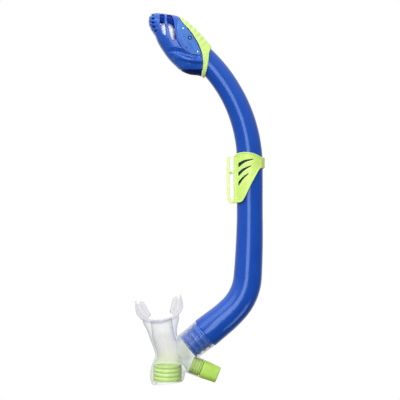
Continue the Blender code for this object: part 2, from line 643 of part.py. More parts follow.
def build_chamber():
    """The clear silicone body that joins the mouthpiece, the tube, the purge valve and the exhaust."""
    chamber = neck_form("mouth_chamber", 0.0, 0.0)
    join(chamber, sleeve_form("sleeve", [(GAP, 15.8), (9.0, 15.5), (19.0, 15.2), (27.0, 14.6), (34.0, 11.5),
                                         (38.0, 7.0)]))
    join(chamber, cup_form("cup", [(-176.0, 12.6, 0.0), (-183.0, 15.4, 0.0), (-188.0, 17.2, 2.0),
                                   (-193.0, 17.8, 3.0), (-198.0, 17.4, 4.0), (-202.0, 15.9, 5.0),
                                   (-203.4, 14.0, 5.0)]))
    join(chamber, exhaust_form("exhaust_sleeve", [(-22.0, 0.0, 9.5, 10.2), (-0.35, 0.0, 9.5, 10.2)]))
    cut(chamber, neck_form("neck_inside", MOUTH_WALL, 3.0))
    cut(chamber, sleeve_form("sleeve_inside", [(-3.0, 14.8), (2.0, 14.65), (22.3, 13.25), (28.0, 12.3),
                                               (34.0, 9.0)]))
    cut(chamber, cup_form("cup_inside", [(-177.0, 11.0, 0.0), (PURGE_TOP_Z + GAP, 14.55, 0.0),
                                         (PURGE_LOW_Z - GAP, 14.55, 0.0)]))
    cut(chamber, cup_form("cup_hole", [(-195.0, 12.2, 0.0), (-210.0, 12.2, 0.0)]))
    cut(chamber, exhaust_form("exhaust_inside", [(-24.0, 4.0, 4.6, 5.6), (-14.0, 0.9, 7.2, 8.0),
                                                 (-12.0, 0.0, 8.5, 9.2), (3.0, 0.0, 8.5, 9.2)]))
    finish(chamber, "clear_silicone")


def arch(points):
    """A curve in the mouthpiece's frame, mirrored about its middle."""
    half = smooth_curve(points, 3)
    return [(-a, u) for a, u in reversed(half[1:])] + half


def build_mouthpiece():
    """The lip flange, which curves round the teeth, with its neck and the two bite tabs."""
    piece = oval("mouthpiece", [(0.0, GAP, 13.9, 12.2), (0.0, 7.0, 15.2, 12.6), (0.0, 13.5, 17.6, 13.2),
                                (0.0, 17.5, 18.6, 13.6)])
    back = arch(((0.0, 13.6), (9.0, 14.6), (17.0, 18.0), (22.6, 24.0), (24.0, 29.0), (23.2, 38.8)))
    front = arch(((0.0, 15.8), (8.6, 17.0), (15.4, 20.4), (20.4, 26.0), (21.6, 31.0), (21.8, 38.8)))
    cut(piece, mouth_prism("lip_room", [*front, (30.0, 60.0), (-30.0, 60.0)], 30.0))
    flange = mouth_prism("flange", [*back, *reversed(front)], 16.0)
    trim = [(0.0, 13.0, 25.0, 15.0), (0.0, 20.0, 25.0, 15.0), (0.0, 28.0, 24.6, 13.4),
            (0.0, 34.0, 24.0, 11.0), (0.0, 38.8, 23.4, 8.0)]
    keep(flange, oval("flange_trim", trim, power=2.6))
    join(piece, flange)
    for side in (-1.0, 1.0):
        join(piece, mouth_prism("shelf", [(side * a, u) for a, u in BITE_SHELF], 1.7))
        join(piece, mouth_prism("bite_wall", [(side * a, u) for a, u in BITE_WALL], 5.6))
    cut(piece, oval("airway", [(0.0, -4.0, 11.9, 10.2), (0.0, 6.0, 11.4, 9.2), (0.0, 30.0, 10.4, 8.2)]))
    finish(piece, "clear_silicone")


def upright_hole(name, x, y, radius, z_low, z_high, around):
    rings = [section((x, y, z), (radius, 0.0, 0.0), (0.0, radius, 0.0), around=around)
             for z in (z_low, z_high)]
    return loft(name, rings)


def build_purge():
    """The purge valve in the cup: a ribbed seat ring, its membrane and the vented cover below."""
    low, high = PURGE_LOW_Z, PURGE_TOP_Z
    up = (0.0, 1.0)
    origin = (PURGE_X, low)
    tall = high - low
    profile = [(11.9, 0.0), (14.2, 0.0)]
    for n in range(4):
        start = 1.2 + n * 3.9
        profile += [(14.2, start), (13.4, start + 0.8), (13.4, start + 1.7), (14.2, start + 2.5)]
    profile += [(14.2, tall), (11.9, tall)]
    seat = turned("purge_seat", profile, origin, up)
    join(seat, turned("spider", [(12.4, 8.0), (12.4, 10.0)], origin, up, looped=False))
    for n in range(6):
        a = math.radians(60 * n + 30)
        x, y = PURGE_X + 6.9 * math.cos(a), 6.9 * math.sin(a)
        cut(seat, upright_hole("port", x, y, 2.5, low + 6.0, low + 12.0, 10))
    cut(seat, turned("stem_hole", [(1.6, 5.0), (1.6, 13.0)], origin, up, looped=False, around=16))
    finish(seat, "lime_clear")
    slide = joint_empty("purge_lift", PURGE_X, low + 8.0)
    turned("purge_membrane", [(10.6, 6.7), (10.6, 7.7), (1.2, 7.7), (1.2, 11.9), (2.1, 12.1), (1.0, 13.7)],
           origin, up, "clear_silicone", slide, looped=False)
    dish = [(11.55, 0.2), (11.55, 3.4), (10.2, 3.4), (10.2, 1.8)]
    cover = turned("purge_cover", dish, origin, up, looped=False)
    for n in range(8):
        a = math.radians(45 * n)
        x, y = PURGE_X + 6.4 * math.cos(a), 6.4 * math.sin(a)
        cut(cover, upright_hole("vent", x, y, 1.5, low - 2.0, low + 4.0, 8))
    finish(cover, "lime_clear")


def build_exhaust():
    """The side exhaust: a duct inside the clear sleeve, an outlet cap and the flap in it."""
    duct = exhaust_form("exhaust_duct", [(-10.5, 0.0, 8.1, 8.8), (-0.8, 0.0, 8.2, 8.9), (-0.7, 0.0, 7.0, 7.7),
                                         (6.0, 0.0, 6.2, 6.9)])
    cut(duct, exhaust_form("duct_inside", [(-12.0, 0.0, 7.1, 7.8), (-1.8, 0.0, 7.1, 7.8),
                                           (-0.2, 0.0, 5.5, 6.2), (8.0, 0.0, 4.8, 5.5)]))
    finish(duct, "lime_clear")
    end = EXHAUST_LENGTH
    cap = exhaust_form("exhaust_cap", [(0.0, 0.0, 8.9, 9.6), (2.0, 0.0, 9.0, 9.8), (12.0, 0.0, 8.3, 9.6),
                                       (end - 0.8, 0.0, 8.1, 9.5), (end, 0.0, 7.6, 9.0)], 3.2)
    cut(cap, exhaust_form("cap_inside", [(-2.0, 0.0, 7.35, 8.05), (6.6, 0.0, 6.75, 7.45),
                                         (7.6, 0.0, 5.0, 5.8), (9.5, 0.0, 5.0, 5.8), (9.6, 0.0, 6.2, 7.2),
                                         (30.0, 0.0, 6.2, 7.2)], 3.0))
    finish(cap, "lime")
    hinge = along(EXHAUST_START, EXHAUST_OUT, 10.6, 5.3)
    pivot = joint_empty("exhaust_flap_swing", *hinge)
    flap = exhaust_form("exhaust_flap", [(10.2, 0.0, 5.7, 6.6), (11.2, 0.0, 5.7, 6.6)], 3.0)
    finish(flap, "clear_silicone", pivot)


# ---- build ------------------------------------------------------------------------------------------
def clear_scene():
    for found in list(bpy.data.objects):
        bpy.data.objects.remove(found)


def shade_round():
    for found in bpy.data.objects:
        if found.type == "MESH":
            found.data.shade_smooth()
            found.data.set_sharp_from_angle(angle=math.radians(35))


def main():
    clear_scene()
    build_tube()
    build_ferrule()
    build_base()
    build_hood()
    build_splash_guard()
    build_side_covers()
    build_collar()
    build_chin_grille()
    build_head_pins()
    build_float()
    build_flap()
    build_keeper()
    build_gate()
    build_chamber()
    build_mouthpiece()
    build_purge()
    build_exhaust()
    shade_round()


main()
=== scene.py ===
import math

import bmesh
import bpy
import numpy as np
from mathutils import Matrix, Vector


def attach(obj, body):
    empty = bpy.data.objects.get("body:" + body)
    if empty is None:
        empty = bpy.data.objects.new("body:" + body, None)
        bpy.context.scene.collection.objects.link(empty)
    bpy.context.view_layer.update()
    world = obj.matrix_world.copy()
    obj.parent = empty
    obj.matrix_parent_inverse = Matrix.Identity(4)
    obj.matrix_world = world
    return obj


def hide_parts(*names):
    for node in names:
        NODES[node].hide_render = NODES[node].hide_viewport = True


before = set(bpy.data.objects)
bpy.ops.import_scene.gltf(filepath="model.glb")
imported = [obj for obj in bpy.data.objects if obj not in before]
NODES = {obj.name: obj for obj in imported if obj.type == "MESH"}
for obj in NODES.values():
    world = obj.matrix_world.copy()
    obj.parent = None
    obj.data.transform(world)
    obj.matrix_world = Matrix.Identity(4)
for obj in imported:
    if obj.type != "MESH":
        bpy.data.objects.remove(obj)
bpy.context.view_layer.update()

MM = 0.001

# ---- camera ----
CAMERA_AIM = (-0.034, -0.019)  # x and z of the middle of the picture
CAMERA_DISTANCE = 2.0
FIELD_WIDTH = 0.4
SENSOR = 36.0


def make_camera():
    data = bpy.data.cameras.new("camera")
    data.sensor_width = SENSOR
    data.lens = SENSOR * CAMERA_DISTANCE / FIELD_WIDTH
    data.clip_start, data.clip_end = 0.05, 30.0
    camera = bpy.data.objects.new("camera", data)
    camera.location = (CAMERA_AIM[0], -CAMERA_DISTANCE, CAMERA_AIM[1])
    camera.rotation_euler = (math.pi / 2, 0.0, 0.0)
    bpy.context.scene.collection.objects.link(camera)
    bpy.context.scene.camera = camera


make_camera()

# ---- dimensions, in millimetres ----
REACH = 40.0  # half the width of a cutter that goes right through every piece
TUBE_AXIS_X = 15.8
STRAIGHT_TOP_Z, STRAIGHT_LENGTH = 16.0, 50.5
UPPER_BEND_R, UPPER_BEND_DEG = 147.0, 47.5
NECK_TAPER_LENGTH = 75.0
LOWER_BENDS = ((900.0, 3.9, 16), (52.0, 39.5, 44), (127.0, 8.0, 8))  # radius, degrees and steps
LOWER_END_LENGTH = 20.0
R_NECK, R_STRAIGHT, R_ELBOW, R_END = 11.8, 13.05, 14.25, 15.95
LOWER_RADII = (R_STRAIGHT, R_ELBOW, R_ELBOW + 0.5, R_ELBOW + 1.05)
TUBE_WALL = 1.9
TUBE_LIP = ((0.9, 0.0), (0.35, 0.15), (0.1, 0.4), (0.0, 0.8))  # back from the end, and how much thinner

NECK_DOWN, NECK_OUT = (0.70, -0.71), (0.71, 0.70)  # from the head into the tube, and out of the spine
HEAD_WALL = 2.3
GUARD_DEPTH = 0.9  # of the splash guard's face, under the hood's skin
HEAD_STATIONS = (  # top, bottom and half depth of each ring, from the neck to the nose
    ((-19.8, 131.0), (-27.8, 102.6), 12.2),
    ((-28.5, 141.0), (-36.0, 105.0), 14.2),
    ((-35.0, 148.3), (-44.0, 106.0), 15.6),
    ((-42.0, 155.0), (-52.0, 109.2), 16.3),
    ((-49.5, 161.2), (-59.5, 115.8), 16.3),
    ((-57.0, 164.9), (-66.0, 122.6), 15.9),
    ((-65.0, 166.5), (-71.5, 130.3), 15.0),
    ((-72.5, 167.5), (-76.0, 137.8), 13.8),
    ((-79.0, 167.8), (-79.0, 144.8), 12.4),
    ((-83.0, 166.4), (-82.4, 149.9), 10.8),
    ((-84.9, 163.4), (-84.4, 153.9), 7.6),
    ((-85.5, 160.6), (-85.3, 156.8), 3.4),
)
HOOD_SEAM = ((-56.5, 168.0), (-52.6, 159.4), (-41.6, 146.2), (-33.6, 131.5), (-31.2, 119.0),
             (-32.6, 100.0))
TUBE_SEAM = ((-20.5, 137.0), (-24.4, 129.0), (-25.7, 119.0), (-27.6, 109.4), (-31.0, 99.0))
CHIN_Z, CHIN_FRONT_X = 111.0, -54.5
COVER_EDGE = ((-55.3, 161.6), (-57.0, 154.0), (-56.6, 147.0), (-54.9, 140.0), (-50.6, 131.4),
              (-43.6, 126.3), (-33.4, 124.7))
RIDGE = ((-59.0, 158.6), (-58.0, 150.0), (-56.6, 143.0), (-53.6, 136.4), (-49.0, 130.6), (-44.0, 127.6))
VALLEY = ((-66.0, 129.0), (-60.0, 128.6), (-54.0, 127.4), (-48.0, 125.2), (-42.0, 123.4), (-34.0, 122.6))
BEAD = ((-60.0, 124.2), (-50.0, 121.2), (-40.0, 119.2), (-30.0, 118.6), (-10.0, 118.6))
CREASE = ((-67.0, 131.0), (-60.0, 132.8), (-54.0, 132.2), (-50.0, 129.8))
COVER_GROOVE = ((-54.2, 146.0), (-52.6, 141.4), (-50.2, 136.4), (-46.8, 131.4))
RECESS_LEFT = ((-80.0, 133.0), (-47.0, 133.0), (-50.0, 175.0), (-80.0, 175.0))  # no recess left of here
COVER_FOLD = ((-44.5, 139.0), (-41.0, 134.0), (-38.3, 129.8))
FLOAT_PIVOT, FLAP_PIVOT, STUD_PLACE = (-50.6, 151.3), (-44.0, 142.0), (-36.3, 128.4)
PIN_R, PIN_DOME = 1.1, 0.5
WINDOWS = (
    ((-74.0, 165.8), (-69.6, 165.4), (-69.2, 158.4), (-68.8, 152.5), (-68.0, 147.4), (-68.4, 144.8),
     (-70.7, 146.8), (-73.0, 153.6), (-74.0, 159.4)),
    ((-67.0, 165.2), (-62.4, 164.8), (-60.2, 160.0), (-59.4, 154.5), (-58.5, 146.8), (-58.3, 141.4),
     (-59.9, 138.8), (-63.0, 142.4), (-65.0, 151.0), (-66.6, 158.0)),
)
NOSE_SLOTS = ((-80.6, 165.0), (-79.6, 161.4), (-79.4, 157.4), (-78.6, 153.2), (-76.6, 148.9))
SLOT_HALF, SLOT_DEPTH = 0.6, 0.45
PIT_HALF, PIT_DEPTH, PIT_LEFT, PIT_RIGHT = 1.0, 1.15, 2.6, 0.4
GUARD_EDGE = ((-95.0, 145.0), (-77.5, 145.0), (-75.8, 158.6), (-72.5, 158.2), (-68.9, 156.4),
              (-67.5, 157.6), (-64.8, 157.2), (-62.0, 155.8), (-59.7, 153.3), (-57.2, 150.5),
              (-57.2, 175.0), (-95.0, 175.0))
# The guard's tongue is a dark sheet: painted shadow of the float arm in the right window's lower corner.
GUARD_SHADOW_TONGUE = ((-60.4, 134.0), (-55.0, 134.0), (-55.0, 152.0), (-57.0, 152.0), (-58.7, 145.0))
DRAIN_YS, DRAIN_HALF = (-6.0, -2.0, 2.0, 6.0), 0.9

RING_LOW_Z, RING_HIGH_Z = 13.0, 23.4
RING_R_IN, RING_R_OUT = 14.15, 15.0
WING_R_IN, WING_R_OUT = 14.35, 15.7
WING_ZS = (31.4, -22.6)  # past both ends of the wings
WING_TOP = ((-1.0, 23.5), (3.0, 27.4), (11.0, 28.7), (20.0, 27.2), (28.0, 23.4))
WING_LOW = ((27.5, 13.0), (24.7, 10.8), (16.2, -4.5), (9.2, -18.6), (5.0, -21.4), (-1.0, -21.6))
WING_SLOTS = (((4.2, 17.6), (10.2, 20.0), (19.4, 21.9)), ((4.2, 8.6), (9.6, 12.0), (17.6, 15.6)),
              ((4.2, -1.2), (8.4, 3.2), (15.2, 8.4)))
PAD_Y = 9.0
GATE_OUTER_X, GATE_INNER_X = -7.1, -4.4
GATE_HINGE, KNUCKLE_R = (0.6, -20.4), 1.9
STUD_Z = 8.0

MOUTH_ORIGIN = (-70.6, -155.0)
MOUTH_LEAN_DEG = 8.0
PURGE_X, PURGE_TOP_Z, PURGE_LOW_Z = -66.5, -183.6, -200.2
PURGE_GROOVES, PURGE_GROOVE_DEPTH, PURGE_LEAN = 4.0, 0.85, 0.14
PORT_COUNT, PORT_CIRCLE_R, PORT_R = 6, 6.9, 2.5
EXHAUST_START, EXHAUST_DROP_DEG, EXHAUST_LENGTH = (-32.4, -187.4), 22.0, 17.6


# ---- curves and forms ----
def spline(points, steps):
    """A Catmull-Rom curve through points of any dimension, as an array."""
    p = np.array(points, float)
    p = np.vstack([2 * p[0] - p[1], p, 2 * p[-1] - p[-2]])
    t = (np.arange(steps) / steps)[:, None]
    rows = []
    for a, b, c, d in zip(p, p[1:], p[2:], p[3:]):
        square, cube = 2 * a - 5 * b + 4 * c - d, 3 * b - a - 3 * c + d
        rows.append(0.5 * (2 * b + (c - a) * t + square * t**2 + cube * t**3))
    return np.vstack([*rows, p[-2]])


def spline_points(points, steps):
    return [tuple(p) for p in spline(points, steps)]


def turn(heading, degrees):
    """An (x, z) heading turned towards the left of itself."""
    c, s = math.cos(math.radians(degrees)), math.sin(math.radians(degrees))
    return heading[0] * c - heading[1] * s, heading[0] * s + heading[1] * c


def along(origin, direction, distance, across=0.0):
    """The point at a distance along a direction, and across it to its left."""
    x = origin[0] + direction[0] * distance - direction[1] * across
    z = origin[1] + direction[1] * distance + direction[0] * across
    return x, z


def bend(point, heading, radius, degrees, steps):
    """The points and headings of an arc."""
    side = math.copysign(1.0, degrees)
    centre = along(point, heading, 0.0, side * radius)
    found = []
    for i in range(1, steps + 1):
        h = turn(heading, degrees * i / steps)
        found.append((along(centre, h, 0.0, -side * radius), h))
    return found


def upper_path(steps):
    """The tube's centre line over its straight stretch, from the bottom up: points and headings."""
    start = ((TUBE_AXIS_X, STRAIGHT_TOP_Z), (0.0, 1.0))
    return [start, *bend(*start, UPPER_BEND_R, UPPER_BEND_DEG, steps)]


def lower_path():
    """The rest of the centre line, from the top down: points, headings and radii."""
    down = (0.0, -1.0)
    found = [((TUBE_AXIS_X, STRAIGHT_TOP_Z), down, R_STRAIGHT)]
    found.append((along(found[0][0], down, STRAIGHT_LENGTH), down, R_STRAIGHT))
    for (radius, degrees, steps), thin, thick in zip(LOWER_BENDS, LOWER_RADII, LOWER_RADII[1:]):
        arc = bend(found[-1][0], found[-1][1], radius, -degrees, steps)
        for i, (point, heading) in enumerate(arc, 1):
            found.append((point, heading, thin + (thick - thin) * i / steps))
    point, heading, _ = found[-1]
    found.append((along(point, heading, LOWER_END_LENGTH), heading, R_END))
    return found


TUBE_END, END_HEADING, _ = lower_path()[-1]
MOUTH_UP = turn((0.0, 1.0), MOUTH_LEAN_DEG)
MOUTH_ACROSS = (MOUTH_UP[1], -MOUTH_UP[0])
EXHAUST_OUT = turn((1.0, 0.0), -EXHAUST_DROP_DEG)


def section(centre, half_a, half_b, power=2.0, around=96):
    """A closed ring of points: an ellipse, or squarer with a higher power."""
    c, a, b = (np.array(v, float) for v in (centre, half_a, half_b))
    t = np.linspace(0.0, 2 * math.pi, around, endpoint=False)[:, None]
    ca, sa = np.cos(t), np.sin(t)
    return c + a * np.sign(ca) * np.abs(ca) ** (2 / power) + b * np.sign(sa) * np.abs(sa) ** (2 / power)


def new_mesh(name, points, faces):
    mesh = bpy.data.meshes.new(name)
    mesh.from_pydata([tuple(p) for p in np.array(points) * MM], [], faces)
    body = bmesh.new()
    body.from_mesh(mesh)
    bmesh.ops.recalc_face_normals(body, faces=body.faces)
    body.to_mesh(mesh)
    body.free()
    made = bpy.data.objects.new(name, mesh)
    bpy.context.scene.collection.objects.link(made)
    return made


def loft(name, rings, looped=False):
    """A solid through rings of as many points each, capped at both ends or closed on itself."""
    count, around = len(rings), len(rings[0])
    points = np.vstack(rings)
    faces = []
    for i in range(count if looped else count - 1):
        a, b = i * around, (i + 1) % count * around
        for j in range(around):
            k = (j + 1) % around
            faces.append((a + j, a + k, b + k, b + j))
    if not looped:
        faces.append(tuple(reversed(range(around))))
        faces.append(tuple((count - 1) * around + j for j in range(around)))
    return new_mesh(name, points, faces)


def prism(name, outline, y_low=-REACH, y_high=REACH):
    return loft(name, [np.array([(x, y, z) for x, z in outline]) for y in (y_low, y_high)])


def wide_prism(name, outline):
    """A cutter for other cutters, a little wider than they are."""
    return prism(name, outline, -REACH - 1.0, REACH + 1.0)


def box(name, x, y, z):
    return prism(name, [(x[0], z[0]), (x[1], z[0]), (x[1], z[1]), (x[0], z[1])], *y)


def turned(name, profile, origin, direction, looped=True, around=96):
    """A solid of revolution, from (radius, distance) pairs along an axis."""
    rings = []
    for radius, distance in profile:
        x, z = along(origin, direction, distance)
        across = (-direction[1] * radius, 0.0, direction[0] * radius)
        rings.append(section((x, 0.0, z), across, (0.0, radius, 0.0), around=around))
    return loft(name, rings, looped)


def swept(name, stations, looped=False, power=2.0):
    """A solid through (point, direction, half height, half depth) stations."""
    rings = []
    for (x, z), direction, height, depth in stations:
        across = (-direction[1] * height, 0.0, direction[0] * height)
        rings.append(section((x, 0.0, z), across, (0.0, depth, 0.0), power))
    return loft(name, rings, looped)


def rod(name, spot, radius, y_low=-REACH, y_high=REACH, around=40):
    """A cylinder along Y."""
    x, z = spot
    return loft(name, [section((x, y, z), (radius, 0, 0), (0, 0, radius), around=around)
                       for y in (y_low, y_high)])


# ---- mesh operations ----
def applied(target):
    """Applies every modifier on target."""
    bpy.context.view_layer.update()
    graph = bpy.context.evaluated_depsgraph_get()
    mesh = bpy.data.meshes.new_from_object(target.evaluated_get(graph))
    target.modifiers.clear()
    target.data = mesh
    return target


def combine(target, operation, tool):
    """Applies a Boolean and removes its tool."""
    modifier = target.modifiers.new("combine", "BOOLEAN")
    modifier.operation = operation
    modifier.solver = "MANIFOLD"
    modifier.object = tool
    applied(target)
    bpy.data.objects.remove(tool)
    return target


def cut(target, tool):
    return combine(target, "DIFFERENCE", tool)


def join(target, tool):
    return combine(target, "UNION", tool)


def keep(target, tool):
    return combine(target, "INTERSECT", tool)


def moulded(target, voxel, rounds):
    """Remeshes a cut or joined form and relaxes it, which rounds every edge as a mould does."""
    remesh = target.modifiers.new("remesh", "REMESH")
    remesh.mode = "VOXEL"
    remesh.voxel_size = voxel * MM
    remesh.use_smooth_shade = True
    relax = target.modifiers.new("relax", "SMOOTH")
    relax.factor = 0.5
    relax.iterations = rounds
    return applied(target)


def move(target, offset):
    """Moves each vertex by offset(place, normal), an array of vectors, all in millimetres."""
    mesh = target.data
    count = len(mesh.vertices)
    co, normal = np.zeros(count * 3), np.zeros(count * 3)
    mesh.vertices.foreach_get("co", co)
    mesh.vertex_normals.foreach_get("vector", normal)
    co, normal = co.reshape(-1, 3), normal.reshape(-1, 3)
    co += offset(co / MM, normal) * MM
    mesh.vertices.foreach_set("co", co.ravel())
    mesh.update()
    return target


def push(target, distance):
    """Moves each vertex along its normal by distance(place, normal)."""
    return move(target, lambda p, normal: normal * distance(p, normal)[:, None])


def lift(target, height, start=6.0, full=10.0):
    """Moves both sides of a shell outwards by height(place), in full beyond a depth from the middle."""

    def outwards(p, _):
        found = np.zeros_like(p)
        side = np.clip((np.abs(p[:, 1]) - start) / (full - start), 0.0, 1.0)
        found[:, 1] = side * np.sign(p[:, 1]) * height(p)
        return found

    return move(target, outwards)


def stripe(points, path, above, below, height):
    """A soft bead along a smooth path, seen from the side: its height at each point, from a width on each
    side. It fades out at both ends of the path."""
    p, curve = points[:, [0, 2]], spline(path, 6)
    best = np.full(len(p), np.inf)
    signed = np.zeros(len(p))
    share = np.zeros(len(p))
    for n, (a, b) in enumerate(zip(curve, curve[1:])):
        d = b - a
        t = np.clip(((p - a) @ d) / (d @ d), 0.0, 1.0)
        off = p - a - t[:, None] * d
        distance = np.hypot(*off.T)
        nearer = distance < best
        best[nearer] = distance[nearer]
        signed[nearer] = (distance * np.sign(d[0] * off[:, 1] - d[1] * off[:, 0]))[nearer]
        share[nearer] = ((n + t) / (len(curve) - 1))[nearer]
    width = np.where(signed > 0, above, below)
    across = np.cos(np.clip(best / width, 0.0, 1.0) * math.pi / 2) ** 2
    return height * across * np.sin(np.clip(share, 0.0, 1.0) * math.pi) ** 0.4


def smooth_shade(target, angle=35.0):
    target.data.shade_smooth()
    target.data.set_sharp_from_angle(angle=math.radians(angle))
    return target


# ---- materials ----
class Nodes:
    """Builds the nodes of a material or of the world. Noise scales are per metre."""

    def __init__(self, owner, kind="Material"):
        owner.use_nodes = True
        self.owner, self.tree = owner, owner.node_tree
        self.tree.nodes.clear()
        self.output = self.add("ShaderNodeOutput" + kind)
        self.coordinates = self.add("ShaderNodeTexCoord").outputs
        self.position = self.coordinates["Object"]

    def add(self, kind, **values):
        node = self.tree.nodes.new(kind)
        for key, value in values.items():
            setattr(node, key, value)
        return node

    def put(self, value, socket):
        if isinstance(value, bpy.types.NodeSocket):
            self.tree.links.new(value, socket)
        else:
            socket.default_value = value

    def node(self, kind, **inputs):
        """A node with its inputs set or linked, each named with _ for a space."""
        node = self.add(kind)
        for key, value in inputs.items():
            self.put(value, node.inputs[key.replace("_", " ")])
        return node

    def noise(self, scale, detail=3.0, rough=0.5, vector=None):
        node = self.node("ShaderNodeTexNoise", Vector=vector or self.position, Scale=scale, Detail=detail,
                         Roughness=rough)
        return node.outputs["Fac"]

    def stretched(self, x, y, z):
        return self.node("ShaderNodeMapping", Vector=self.position, Scale=(x, y, z)).outputs["Vector"]

    def remap(self, value, low, high, to_low=0.0, to_high=1.0):
        node = self.node("ShaderNodeMapRange", Value=value, From_Min=low, From_Max=high, To_Min=to_low,
                         To_Max=to_high)
        return node.outputs["Result"]

    def times(self, first, second):
        return self.math("MULTIPLY", first, second)

    def mix(self, factor, first, second):
        node = self.add("ShaderNodeMix", data_type="RGBA")
        self.put(factor, node.inputs[0])
        self.put(first, node.inputs[6])  # 6, 7 and 2 are the sockets of colours
        self.put(second, node.inputs[7])
        return node.outputs[2]

    def math(self, operation, first, second=0.0):
        node = self.add("ShaderNodeMath", operation=operation)
        self.put(first, node.inputs[0])
        self.put(second, node.inputs[1])
        return node.outputs[0]

    def xyz(self, vector):
        return self.node("ShaderNodeSeparateXYZ", Vector=vector).outputs

    def along_line(self, origin, direction):
        """The distance in metres from an (x, z) origin, in mm, along a direction."""
        node = self.add("ShaderNodeVectorMath", operation="DOT_PRODUCT")
        self.put(self.position, node.inputs[0])
        node.inputs[1].default_value = (direction[0], 0.0, direction[1])
        start = (origin[0] * direction[0] + origin[1] * direction[1]) * MM
        return self.math("SUBTRACT", node.outputs["Value"], start)

    def pointed(self, low, high):
        """How sharply the surface sticks out, or how deeply it is hollow if high is under low."""
        return self.remap(self.add("ShaderNodeNewGeometry").outputs["Pointiness"], low, high)

    def bump(self, *layers):
        """layers are (height, strength, distance in mm)."""
        normal = None
        for height, strength, distance in layers:
            node = self.node("ShaderNodeBump", Strength=strength, Distance=distance * MM, Height=height)
            if normal:
                self.put(normal, node.inputs["Normal"])
            normal = node.outputs["Normal"]
        return normal

    def principled(self, **inputs):
        return self.node("ShaderNodeBsdfPrincipled", **inputs)

    def blended(self, factor, first, second):
        node = self.add("ShaderNodeMixShader")
        self.put(factor, node.inputs[0])
        self.put(first.outputs[0], node.inputs[1])
        self.put(second.outputs[0], node.inputs[2])
        return node

    def finish(self, shader):
        self.put(shader.outputs[0], self.output.inputs["Surface"])
        return self.owner


def material(name):
    return Nodes(bpy.data.materials.new(name))


def rgb(display):
    """A display colour, 0 to 255, as a linear one."""
    linear = [((c / 255 + 0.055) / 1.055) ** 2.4 if c > 10 else c / 255 / 12.92 for c in display]
    return (*linear, 1.0)


def plastic(name, main, second, wear_and_highlight, rough, coat=0.0, sheen=0.0, soft=0.0, grain=0.5,
            tint=(1.0, 1.0, 1.0), wave=0.3, hollow_shade=0.25, hairline=0.15):
    """A moulded plastic: cloudy colour, mould grain, flow waves, edges lighter for wear and a painted
    highlight, painted shade in hollows, and hairlines.

    rough is its mean roughness, and the numbers for painted shade in hollows, wave, grain and hairline say
    how much of each shows."""
    n = material(name)
    main, second, wear_and_highlight = rgb(main), rgb(second), rgb(wear_and_highlight)
    shade = (*(0.35 * c for c in main[:3]), 1.0)
    colour = n.mix(n.remap(n.noise(55.0, 4.0), 0.35, 0.65), main, second)
    colour = n.mix(n.remap(n.noise(1400.0, 2.0), 0.62, 0.8, 0.0, 0.12), colour, wear_and_highlight)
    # Convex edges and rib crests turn lighter: partly wear, partly a painted highlight.
    colour = n.mix(n.times(n.pointed(0.515, 0.56), 0.35), colour, wear_and_highlight)
    # Painted shade: hollows and creases are darkened towards a darker copy of the main colour.
    colour = n.mix(n.times(n.pointed(0.488, 0.44), hollow_shade), colour, shade)
    lines = n.remap(n.noise(240.0, 6.0, 0.7, n.stretched(1.0, 1.0, 0.07)), 0.66, 0.72)
    roughness = n.remap(n.noise(140.0, 5.0, 0.6), 0.3, 0.7, rough * 0.88, rough * 1.12)
    roughness = n.math("ADD", roughness, n.times(lines, 0.4 * hairline))
    normal = n.bump((n.noise(2600.0, 2.0), 0.25 * grain, 0.03), (n.noise(70.0, 2.0), wave, 0.08),
                    (lines, hairline, 0.01))
    return n.finish(n.principled(
        Base_Color=colour, Roughness=roughness, Normal=normal, IOR=1.5, Specular_Tint=(*tint, 1.0),
        Coat_Weight=coat, Coat_Roughness=0.08, Sheen_Weight=sheen, Subsurface_Weight=soft,
        Subsurface_Radius=(0.6, 1.0, 0.3), Subsurface_Scale=0.002))


# What the silicone does to the light that passes it, in each zone.
LIP_CLEAR, LIP_EDGE = (0.885, 0.88, 0.90, 1.0), (0.80, 0.80, 0.84, 1.0)
FLOOR_CLEAR = (0.80, 0.81, 0.85, 1.0)
AIRWAY_CLEAR = (0.965, 0.965, 0.965, 1.0)
# The cup's lime tint is painted light from the lime ring inside it.
LIME_LIGHT_CLEAR, LIME_LIGHT_EDGE = (0.93, 0.95, 0.87, 1.0), (0.78, 0.81, 0.77, 1.0)
RIGHT_WALL_CLEAR, LEFT_WALL_EDGE = (0.90, 0.915, 0.95, 1.0), (0.46, 0.48, 0.54, 1.0)
# Painted shade: the throat between neck and ferrule is darker.
THROAT_SHADE_CLEAR = (0.865, 0.885, 0.86, 1.0)
THIN_CLEAR = (0.985, 0.985, 0.985, 1.0)
FLOOR_UP, FLOOR_CURVE = 0.0146, 12.5  # the flange's floor, in metres above MOUTH_ORIGIN and per metre


